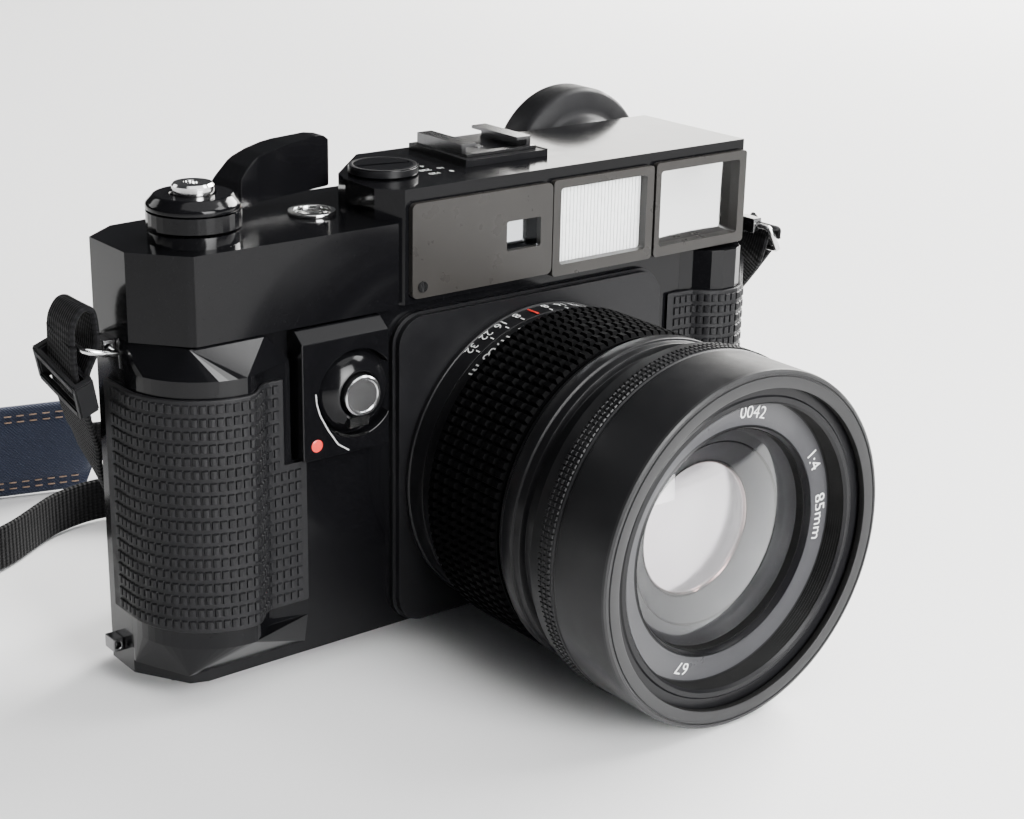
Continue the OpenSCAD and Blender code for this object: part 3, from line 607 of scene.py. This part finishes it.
def pad_section():
    """The pad: two cloth faces pinched at the stitch lines and full between them."""
    outline = [(-13.5, 0.5), (-12.9, 1.35), (-11.9, 1.5), (-11.0, 1.3), (-9.2, 1.3), (-8.2, 1.75),
               (-5, 2.0), (0, 2.1), (5, 2.0), (8.2, 1.75), (9.2, 1.3), (11.0, 1.3), (11.9, 1.5),
               (12.9, 1.35), (13.5, 0.5)]
    return outline + [(x, -o) for x, o in reversed(outline)]


def pad_ends(run, length):
    """Rounds the pad's corners at both ends."""
    d = min(run, length - run)
    k = min(1.0, d / 5.0)
    return (0.62 + 0.38 * math.sqrt(1 - (1 - k) ** 2), 0.55 + 0.45 * math.sqrt(1 - (1 - k) ** 2))


def stitch_rows():
    """Rows of thread stitches on both faces of the pad."""
    boxes = []
    run, t, step = 0.0, PAD_FROM + 0.12, 0.004
    prev, next_at = spline(ROUTE, PAD_FROM + 0.12), 2.0
    while t < PAD_TO - 0.16:
        t += step
        c, tan, w, m = strap_frame(t)
        run += (c - prev).length
        prev = c
        if run < next_at:
            continue
        next_at += 3.6
        for x in (-11.0, -9.2, 9.2, 11.0):
            for side in (-1, 1):
                mid = c + w * x + m * side * 1.42
                boxes.append(lozenge(mid, tan * 1.05, w * 0.2, m * side * 0.3))
    return boxes


def lozenge(mid, along, across, out):
    """A stitch: a low block that narrows towards its top."""
    low = [mid - along - across, mid + along - across, mid + along + across, mid - along + across]
    top = [mid + out + (p - mid) * 0.6 for p in low]
    return [tuple(p) for p in low] + [tuple(p) for p in top]


def buckle(name, t):
    """A ladder buckle: two rails, three bars in front of the webbing and two behind it."""
    c, tan, w, m = strap_frame(t)
    bars = [((-7.6, 0, 0), (0.9, 5.3, 2.4)), ((7.6, 0, 0), (0.9, 5.3, 2.4)),
            ((0, -4.4, 1.85), (7.6, 0.9, 0.75)), ((0, 0, 1.9), (7.6, 1.2, 0.75)),
            ((0, 4.4, 1.85), (7.6, 0.9, 0.75)), ((0, -4.1, -1.9), (7.6, 1.2, 0.7)),
            ((0, 4.1, -1.9), (7.6, 1.2, 0.7))]
    bm = bmesh.new()
    for (x, y, z), (a, b, d) in bars:
        made = bmesh.ops.create_cube(bm, size=2)
        for v in made["verts"]:
            p = Vector((x + v.co.x * a, y + v.co.y * b, z + v.co.z * d))
            v.co = (c + w * p.x + tan * p.y + m * p.z) * MM
    bmesh.ops.recalc_face_normals(bm, faces=bm.faces)
    bmesh.ops.bevel(bm, geom=bm.edges[:], offset=0.0004, segments=2, affect="EDGES", clamp_overlap=True)
    mesh = bpy.data.meshes.new(name)
    bm.to_mesh(mesh)
    bm.free()
    mesh.shade_smooth()
    mesh.set_sharp_from_angle(angle=math.radians(35))
    mesh.materials.append(MATS["spool_plastic"])
    obj = bpy.data.objects.new(name, mesh)
    bpy.context.scene.collection.objects.link(obj)
    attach(obj, "camera")
    return obj


def strap_loop(name, pts, thick):
    return ribbon(name, pts, 0, len(pts) - 1, 110, round_section(WEB_WIDTH, thick), ["webbing"],
                  flat=0.0)


def make_strap():
    last = len(ROUTE) - 1
    web = ribbon("strap_web", ROUTE, 0, last, 620, round_section(WEB_WIDTH, 1.5), ["webbing"])
    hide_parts("strap_webbing")
    pad = ribbon("strap_pad_denim", ROUTE, PAD_FROM, PAD_TO, 150, pad_section(), ["denim"],
                 end_scale=pad_ends)
    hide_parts("strap_pad")
    stitches = join_boxes("pad_stitches", stitch_rows(), "camera", ["orange_thread"])
    left = buckle("buckle_left", 1.5)
    right = buckle("buckle_right", last - 2.0)
    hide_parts("strap_sliders")
    loop_l = strap_loop("strap_loop_left", LOOP_LEFT, 1.4)
    loop_r = strap_loop("strap_loop_right", LOOP_RIGHT, 1.3)
    path = [[c * MM for c in spline(ROUTE, i / 6)] for i in range(6 * last + 1)]
    length = sum((Vector(a) - Vector(b)).length for a, b in zip(path, path[1:]))
    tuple(path[0])


# ---------------------------------------------------------------- rubber pads
def offset_line(pts, d):
    """Moves a plan line outward by d (to the left of its direction is inward)."""
    out = []
    for i, p in enumerate(pts):
        a, b = Vector(pts[max(i - 1, 0)]), Vector(pts[min(i + 1, len(pts) - 1)])
        t = (b - a).normalized()
        out.append(Vector(p) + Vector((t.y, -t.x)) * d)
    return out


class PlanLine:
    """A plan outline walked by length, with its outward normal."""

    def __init__(self, pts):
        self.pts = [Vector(p) for p in pts]
        self.run = [0.0]
        for a, b in zip(self.pts, self.pts[1:]):
            self.run.append(self.run[-1] + (b - a).length)
        self.length = self.run[-1]

    def at(self, s):
        s = max(0.0, min(self.length, s))
        i = 0
        while i < len(self.run) - 2 and self.run[i + 1] < s:
            i += 1
        a, b = self.pts[i], self.pts[i + 1]
        f = (s - self.run[i]) / max(1e-9, self.run[i + 1] - self.run[i])
        t = (b - a).normalized()
        return a + (b - a) * f, Vector((t.y, -t.x))


GRIP_C, GRIP_R, CREASE_Y, INNER_Y = (-84.2, -6.5), 20.4, -26.9, -21.4


def left_grip_line(x1):
    pts = [(-104.6, 2.0)]
    for i in range(31):
        a = math.radians(180 + 90 * i / 30)
        pts.append((GRIP_C[0] + GRIP_R * math.cos(a), GRIP_C[1] + GRIP_R * math.sin(a)))
    for i in range(1, 17):
        u = i / 16
        pts.append((GRIP_C[0] + 8 * u, CREASE_Y + (INNER_Y - CREASE_Y) * (1 - math.cos(math.pi * u)) / 2))
    pts.append((x1, INNER_Y))
    return PlanLine(pts)


def right_grip_line():
    pts = [(46.5, -18.1), (54, -18.8), (57.5, -22.2), (60.5, -23.8), (64.5, -24), (67.5, -22.4),
           (71.2, -18.3), (91.9, 2.3), (91.9, 12)]
    return PlanLine(offset_line(pts, 1.0))


def grip_pads(name, line, rows, pitch, z0, z1, start, end, limit=None):
    """Small roofed pads in rows over a grip: each has an upright ridge and sloping sides."""
    verts, faces = [], []
    count = int((end - start) / pitch)
    tall = (z1 - z0) / rows
    for r in range(rows):
        low, high = z0 + tall * r + 0.36, z0 + tall * (r + 1) - 0.36
        for c in range(count):
            s0 = start + pitch * c + 0.12
            s1 = s0 + pitch - 0.24
            if limit and not limit(line.at(s1)[0], (low + high) / 2):
                continue
            b = len(verts)
            for s, rise in ((s0, 0.0), (s0 + 0.2, 0.42), ((s0 + s1) / 2, 0.55), (s1 - 0.2, 0.42), (s1, 0.0)):
                p, n = line.at(s)
                for z, k in ((low, 0.0), (low + 0.3, 1.0), (high - 0.3, 1.0), (high, 0.0)):
                    q = p + n * (rise * k - (0.15 if k == 0 or rise == 0 else 0))
                    verts.append((q.x, q.y, z))
            for i in range(4):
                for j in range(3):
                    faces.append((b + 4 * i + j, b + 4 * i + j + 1, b + 4 * i + j + 5, b + 4 * i + j + 4))
            faces.append(tuple(b + k for k in (3, 2, 1, 0)))
            faces.append(tuple(b + 16 + k for k in (0, 1, 2, 3)))
            faces.append(tuple(b + 4 * k for k in (0, 1, 2, 3, 4)))
            faces.append(tuple(b + 4 * k + 3 for k in (4, 3, 2, 1, 0)))
    return new_piece(name, verts, faces, "camera", ["grip_rubber"], sharp=25)


def make_grips():
    low = left_grip_line(-67.4)
    grip_pads("grip_pads_left", low, 18, 1.85, 21.2, 75.2, 3.0, low.length - 0.4,
              lambda p, z: z < 55 or p.x < -73.2)
    right = right_grip_line()
    grip_pads("grip_pads_right", right, 18, 1.85, 21.2, 75.2, 1.0, right.length - 2.0)


# ---------------------------------------------------------------- lens details
def ring_studs(name, rows, count, y_of, r, high, half_a, half_y, body, mat, top=0.45):
    """Rows of low pyramids or squares round a ring."""
    verts, faces = [], []
    for j in range(rows):
        yc = y_of(j)
        for k in range(count):
            a = TAU * k / count
            b = len(verts)
            for rise, f in ((-0.1, 1.0), (high, top)):
                for da, dy in ((-1, -1), (1, -1), (1, 1), (-1, 1)):
                    aa = a + da * half_a * f / r
                    rr = r + rise
                    verts.append((rr * math.sin(aa), yc + dy * half_y * f, LENS_Z + rr * math.cos(aa)))
            faces += [(b + 4, b + 5, b + 6, b + 7), (b, b + 1, b + 5, b + 4), (b + 1, b + 2, b + 6, b + 5),
                      (b + 2, b + 3, b + 7, b + 6), (b + 3, b, b + 4, b + 7), (b, b + 3, b + 2, b + 1)]
    return new_piece(name, verts, faces, body, [mat], smooth=False)


def make_lens():
    # hood: satin outside, grey rolled rim with a groove, stepped black inside
    prof = [(39.8, -71.5), (41.2, -71.5), (41.6, -71.8), (41.75, -74.6), (42.02, -74.9), (42.05, -79.5),
            (41.8, -79.8), (41.8, -80.4), (42.0, -80.7), (42.0, -96.0), (41.85, -96.6), (41.4, -96.95),
            (40.9, -97.0), (40.75, -96.7), (40.5, -96.7), (40.35, -97.0), (38.1, -97.0), (37.75, -96.85),
            (37.6, -96.5), (37.6, -95.6), (38.5, -95.3), (38.5, -92.0), (39.55, -91.6), (39.6, -72.4)]
    marks = [0] * 9 + [1] * 8 + [2] * 7
    hood = lathe("lens_hood", prof, "hood_body", ["hood_black", "rim_grey", "inner_black"],
                 face_mats=marks, steps=256)
    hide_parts("hood")
    ring_studs("hood_knurl", 3, 200, lambda j: -79.4 + 1.5 * (j + 0.5) + 0.05, 42.03, 0.32, 0.5, 0.55,
               "hood_body", "hood_black", 0.7)
    # focusing rubber
    ring_studs("focus_studs", 7, 108, lambda j: -57.0 + 3.68 * (j + 0.5), 39.45, 0.95, 1.06, 1.7,
               "focus", "ring_rubber", 0.56)
    # front cell: thread, name ring and black tube
    thread = []
    for i in range(7):
        thread += [(33.5, -94.3 + 0.7 * i), (33.9, -93.95 + 0.7 * i)]
    prof = ([(39.2, -88.3), (39.2, -94.2), (38.9, -94.6), (35.6, -94.6), (35.2, -94.9), (34.1, -94.9),
             (33.8, -94.6)] + thread + [(33.5, -89.5), (33.2, -89.4), (27.4, -89.9), (26.9, -90.2),
                                        (26.5, -89.4), (26.2, -88.0), (27.2, -76.0), (35.1, -76.0),
                                        (35.1, -88.3)])
    marks = [0] * 7 + [1] * 14 + [0, 2, 0] + [0] * 6
    cell = lathe("front_cell_ring", prof, "head", ["satin_black", "inner_black", "ring_grey"],
                 face_mats=marks, steps=256)
    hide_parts("front_cell")
    make_lens_glass()
    make_figures()


def dome(name, rim, edge, crown, body, mat, rings=14, steps=96, back=None):
    """A spherical glass surface from its rim (radius, y) to its crown y."""
    verts, faces = [(0, crown, LENS_Z)], []
    h = crown - edge
    big = (rim * rim + h * h) / (2 * abs(h))
    for i in range(1, rings + 1):
        r = rim * i / rings
        y = crown - math.copysign(big - math.sqrt(big * big - r * r), h)
        for k in range(steps):
            a = TAU * k / steps
            verts.append((r * math.cos(a), y, LENS_Z + r * math.sin(a)))
    for k in range(steps):
        faces.append((0, 1 + k, 1 + (k + 1) % steps))
    for i in range(rings - 1):
        for k in range(steps):
            a, b = 1 + i * steps + k, 1 + i * steps + (k + 1) % steps
            faces.append((a, a + steps, b + steps, b))
    if back is not None:
        base = len(verts)
        for k in range(steps):
            a = TAU * k / steps
            verts.append((rim * math.cos(a), back, LENS_Z + rim * math.sin(a)))
        edge_ring = 1 + (rings - 1) * steps
        for k in range(steps):
            n = (k + 1) % steps
            faces.append((edge_ring + k, base + k, base + n, edge_ring + n))
        faces.append(tuple(base + k for k in range(steps)))
    return new_piece(name, verts, faces, body, [mat], sharp=40)


def make_lens_glass():
    rim, sag, crown, thick, rings = 26.0, 4.8, -91.4, 0.5, 18
    big = (rim ** 2 + sag ** 2) / (2 * sag)
    radii = [rim * k / rings for k in range(rings + 1)]
    outer = [(max(0.01, r), crown + big - math.sqrt(big * big - r ** 2)) for r in radii]
    skin = outer + [(r, y + thick) for r, y in reversed(outer)]
    lens = lathe("front_element", skin, "head", ["clear_glass"], steps=160, sharp=60)
    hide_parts("front_lens")
    # blackened edge, stepped grey seats and the cemented inner element
    inner = [(26.1, -88.6), (25.9, -86.6), (22.0, -83.9), (21.7, -84.0), (21.5, -83.6), (16.4, -80.1),
             (16.1, -80.3), (15.9, -80.1), (15.7, -79.9), (15.6, -77.0), (15.6, -73.0), (27.0, -73.0),
             (27.0, -88.6)]
    marks = [1, 0, 1, 1, 0, 1, 1, 2, 2, 1, 1, 1, 1]
    lathe("lens_seats", inner, "head", ["coat_grey", "inner_black", "coat_brown"], steps=192,
          face_mats=marks)
    dome("inner_glass", 15.6, -79.6, -81.6, "head", "coat_pink", back=-75)


def make_figures():
    """Distance figures in metres, the depth scale with its index, and the name ring's figures."""
    items = []
    for phi, text in ((41, "m"), (33, "∞"), (25, "10"), (16.5, "5"), (9, "3"), (2, "2.5"), (-6, "2"),
                      (-15, "1.7"), (-24, "1.5"), (-34, "1.3"), (-44, "1.2"), (-56, "1.1"), (-70, "1")):
        items.append((text, 4.8, on_barrel(phi, -29.3, 38.32)))
    text_piece("distance_figures", items, "focus", "white_ink")
    index = 6
    items, boxes = [], []
    for i, text in enumerate(("8", "16", "22", "32")):
        for side in (-1, 1):
            phi = index + side * (6.5 + 7.2 * i)
            items.append((text, 3.5, on_barrel(phi, -23.6, 38.9)))
            boxes.append(bar_on_ring(math.radians(phi), -26.6, -25.4, 38.62, 0.16))
    text_piece("depth_figures", items, "camera", "white_ink")
    join_boxes("depth_marks", boxes, "camera", ["white_ink"])
    line = bar_on_ring(math.radians(index), -26.7, -22.6, 38.72, 0.3)
    join_boxes("index_mark", [line], "camera", ["red_ink"])
    figures = (("85mm", 4.6, -2), ("1:4", 4.6, 27), ("67", 4.2, -112), ("0042", 4.2, 78))
    items = [(text, size, on_front(angle, 30.2, -89.76)) for text, size, angle in figures]
    text_piece("ring_figures", items, "head", "white_ink")


def bar_on_ring(a, y0, y1, r, half):
    """A short raised line along a ring."""
    pts = []
    for rise in (-0.08, 0.05):
        for da, y in ((-half, y0), (half, y0), (half, y1), (-half, y1)):
            aa = a + da / r
            rr = r + rise + 0.05
            pts.append((-rr * math.sin(aa), y, LENS_Z + rr * math.cos(aa)))
    return pts


# ---------------------------------------------------------------- top, front and finder
COUNTER = (-52.1, -2.1)
RELEASE = (-54.5, 69.7)


def make_rings():
    """Wire strap rings, bent to a rectangle with cut corners."""
    outline = ((0, -6.6), (0, 6.6), (0.6, 7.4), (7, 7.4), (7.6, 6.6), (7.6, -6.6), (7, -7.4), (0.6, -7.4))
    for side, x, body, node in ((-1, -105.4, "ring_l", "ring_left"), (1, 93.8, "ring_r", "ring_right")):
        pts = []
        tilt = math.radians(14 if side < 0 else -60)
        for px, py in outline:
            pts.append((x + side * px * math.cos(tilt), py, 84 + px * math.sin(tilt)))
        curve = bpy.data.curves.new(body + "_wire", "CURVE")
        curve.dimensions = "3D"
        curve.bevel_depth = 0.8 * MM
        curve.bevel_resolution = 4
        spl = curve.splines.new("POLY")
        spl.points.add(len(pts) - 1)
        for p, q in zip(spl.points, pts):
            p.co = (q[0] * MM, q[1] * MM, q[2] * MM, 1)
        spl.use_cyclic_u = True
        holder = bpy.data.objects.new("wire", curve)
        bpy.context.scene.collection.objects.link(holder)
        mesh = bpy.data.meshes.new_from_object(holder)
        bpy.data.objects.remove(holder)
        mesh.materials.clear()
        mesh.materials.append(MATS["chrome"])
        mesh.shade_smooth()
        obj = bpy.data.objects.new(node + "_wire", mesh)
        bpy.context.scene.collection.objects.link(obj)
        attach(obj, body)
        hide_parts(node)


def make_eyecup():
    prof = [(12.0, 19.4), (13.0, 19.2), (13.8, 19.8), (14.6, 21.4), (15.2, 23.0), (16.0, 23.7), (17.5, 24.0),
            (21.4, 24.5), (22.3, 25.2), (22.6, 26.6), (22.6, 33.4), (22.4, 34.1), (22.0, 34.3), (21.5, 34.0),
            (21.3, 28.0), (20.6, 26.3), (18.0, 25.5), (16.2, 24.8), (14.0, 22.9), (12.0, 22.4)]
    cup = lathe("eyecup_rubber", prof, "camera", ["grip_rubber"], axis="y",
                centre=(51, 99.5), steps=128, sharp=50)
    bm = bmesh.new()
    bm.from_mesh(cup.data)
    geom = bm.verts[:] + bm.edges[:] + bm.faces[:]
    bmesh.ops.bisect_plane(bm, geom=geom, plane_co=(0, 0, 0.0869), plane_no=(0, 0, -1), clear_outer=True)
    edges = [e for e in bm.edges if len(e.link_faces) == 1]
    bmesh.ops.edgeloop_fill(bm, edges=edges)
    bmesh.ops.recalc_face_normals(bm, faces=bm.faces)
    bm.to_mesh(cup.data)
    bm.free()
    cup.data.shade_smooth()
    cup.data.set_sharp_from_angle(angle=math.radians(50))
    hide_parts("eyecup")


def bowed_pane(name, x0, x1, z0, z1, y, bow, mat):
    """A window pane with a slightly bowed front."""
    verts, faces, n = [], [], 12
    for i in range(n + 1):
        for j in range(n + 1):
            u, v = 2 * i / n - 1, 2 * j / n - 1
            verts.append((x0 + (x1 - x0) * i / n, y - bow * (1 - u * u) * (1 - v * v),
                          z0 + (z1 - z0) * j / n))
    for i in range(n):
        for j in range(n):
            a = i * (n + 1) + j
            faces.append((a, a + n + 1, a + n + 2, a + 1))
    return new_piece(name, verts, faces, "camera", [mat], sharp=60)


def make_film_dial():
    items = [("120", 2.2, on_roof(-22.5, -9.4, 114.03)), ("220", 2.2, on_roof(-22.5, -5.4, 114.03)),
             ("8", 2.0, on_roof(-17.6, -9.4, 114.03)), ("16", 2.0, on_roof(-17.9, -5.4, 114.03)),
             ("4", 2.0, on_roof(-20.6, -1.6, 114.03))]
    text_piece("film_figures", items, "camera", "white_ink")
    rim = [(7.9, 114.35), (8.25, 114.5), (8.25, 115.9), (8.0, 116.22), (7.2, 116.26), (7.0, 116.18),
           (7.2, 114.35)]
    lathe("dial_knurl", rim, "dial", ["satin_black"], axis="z", centre=(-32.5, -2.5), steps=96)


def make_counter():
    """Frame counter: a figure on the disc, a domed window and an orange mark."""
    x, y = COUNTER
    text_piece("counter_figures", [("3", 3.0, on_roof(x, y, 102.26))], "counter", "white_ink")
    crystal = [(0.01, 107.55), (2.0, 107.5), (3.2, 107.3), (4.1, 106.95), (4.15, 106.45), (0.01, 106.45)]
    lathe("counter_crystal", crystal, "camera", ["clear_glass"], axis="z", centre=COUNTER,
          steps=64)
    plan = [(x - 1.8, y - 1.5), (x + 0.9, y - 1.8), (x + 0.9, y - 1.1), (x - 1.8, y - 0.8)]
    mark = [(px, py, z) for z in (105.4, 105.7) for px, py in plan]
    join_boxes("counter_mark", [mark], "camera", ["orange_ink"])


def make_releases():
    """The top button's thread, and the front button as a turned face in a black cone."""
    thread = [(4.62, 118.4), (4.62, 119.0), (4.2, 119.5), (2.0, 119.55), (1.62, 119.3), (1.5, 118.0),
              (1.9, 118.0), (2.0, 118.4)]
    lathe("button_thread", thread, "release_top", ["chrome"], axis="z", centre=(-86, -8), steps=64)
    face = [(0.01, -26.42), (3.7, -26.42), (3.95, -26.6), (4.45, -26.6), (4.75, -26.3), (4.75, -22.7),
            (4.2, -22.7), (0.01, -26.0)]
    lathe("release_face", face, "release_front", ["turned"], axis="y", centre=RELEASE, steps=96)
    cone = [(5.25, -21.5), (5.25, -24.9), (5.6, -25.2), (6.2, -25.1), (9.1, -22.9), (9.4, -22.4),
            (9.4, -21.5)]
    collar = lathe("lock_cone", cone, "collar", ["gloss_black"], axis="y", centre=RELEASE,
                   steps=96)
    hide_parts("lock_collar")


def front_plates(outlines, front, back):
    """Thin solids from (x, z) outlines of four points on the camera's front."""
    return [[(x, y, z) for y in (front, back) for x, z in corners] for corners in outlines]


def make_lock_marks():
    """Round the front release: a red dot, a bright tab, the edge of its stop and a thin line."""
    dot = [(0.01, -24.02), (1.45, -24.02), (1.5, -24.12), (1.2, -24.3), (0.01, -24.32)]
    lathe("lock_dot", dot, "camera", ["red_ink"], axis="y", centre=(-65.6, 59.2), steps=40)
    tab = []
    for y, k in ((-23.0, 1.0), (-26.0, 0.85)):
        for a, b in ((-2.9, -1.3), (2.9, -1.3), (3.1, 1.4), (-3.1, 1.4)):
            tab.append((-55.3 + a * k, y, 63.5 + b * k))
    join_boxes("lock_tab", [tab], "collar", ["chrome"])
    arcs = []
    for i in range(14):
        a0, a1 = math.radians(238 + 3.4 * i), math.radians(241.4 + 3.4 * i)
        arcs.append([(RELEASE[0] + r * math.cos(a), RELEASE[1] + r * math.sin(a))
                     for a, r in ((a0, 9.8), (a1, 9.8), (a1, 10.4), (a0, 10.4))])
    join_boxes("lock_stop", front_plates(arcs, -23.7, -24.35), "camera", ["chrome"])
    strokes, half = [], 0.16
    path = [(-65.7, 71.5), (-65.5, 69.2), (-64.7, 66.4), (-62.6, 62.4), (-59.9, 58.4), (-57.0, 56.4)]
    for (x0, z0), (x1, z1) in zip(path, path[1:]):
        d = math.hypot(x1 - x0, z1 - z0)
        nx, nz = -(z1 - z0) / d * half, (x1 - x0) / d * half
        strokes.append([(x0 - nx, z0 - nz), (x1 - nx, z1 - nz), (x1 + nx, z1 + nz), (x0 + nx, z0 + nz)])
    join_boxes("lock_line", front_plates(strokes, -23.95, -24.08), "camera", ["grey_ink"])


def make_small_parts():
    bowed_pane("finder_pane", 39.05, 66.55, 89.75, 109.25, -18.3, 0.5, "silvered")
    make_film_dial()
    make_counter()
    make_releases()
    make_lock_marks()


def finish_nodes():
    """Procedural materials and edge rounding for the CAD nodes that stay."""
    slots = {row["node"]: row["material_slot"] for row in frame["record"]["subparts"]}
    special = {"front_button": "turned", "shutter_unit": "inner_black", "top_cover": "cover_black",
               "wind_lever": "cover_black", "wind_hub": "cover_black", "film_dial": "cover_black",
               "focus_rubber": "ring_rubber", "finder_window": "silvered", "range_window": "half_silvered",
               "shoe_rails": "steel", "strap_lugs": "steel", "panel_screws": "steel"}
    soft = {"top_cover": 1.1, "body_casting": 0.6, "grip_shell_left": 0.7, "grip_shell_right": 0.7,
            "release_housing": 0.6, "lens_plate": 0.35, "finder_panel": 0.25, "illum_frame": 0.3,
            "finder_frame": 0.3, "wind_lever": 2.0, "wind_hub": 0.35, "back_door": 0.5, "base_cover": 0.4,
            "shoe_base": 0.35, "shoe_rails": 0.15, "film_dial": 0.2, "lock_collar": 0.25,
            "grip_left": 0.3, "grip_right": 0.3, "door_latch": 0.3, "top_button": 0.15, "focus_ring": 0.12,
            "head_barrel": 0.15, "lens_base": 0.15, "counter_bezel": 0.2, "front_button": 0.2,
            "strap_lugs": 0.3, "eyepiece_ring": 0.3}
    for name, obj in NODES.items():
        mat = MATS[special.get(name, slots[name])]
        obj.data.materials.clear()
        obj.data.materials.append(mat)
        if name in soft:
            weld = obj.modifiers.new("weld", "WELD")
            weld.merge_threshold = 0.000004
            bevel = obj.modifiers.new("edges", "BEVEL")
            bevel.width = soft[name] * MM
            bevel.segments = 3
            bevel.limit_method = "ANGLE"
            bevel.angle_limit = math.radians(34)
            bevel.harden_normals = True
            bevel.use_clamp_overlap = True


# ---------------------------------------------------------------- build
make_camera()
make_materials()
make_strap()
finish_nodes()
make_grips()
make_lens()
make_rings()
make_eyecup()
make_small_parts()
make_floor()
make_light()
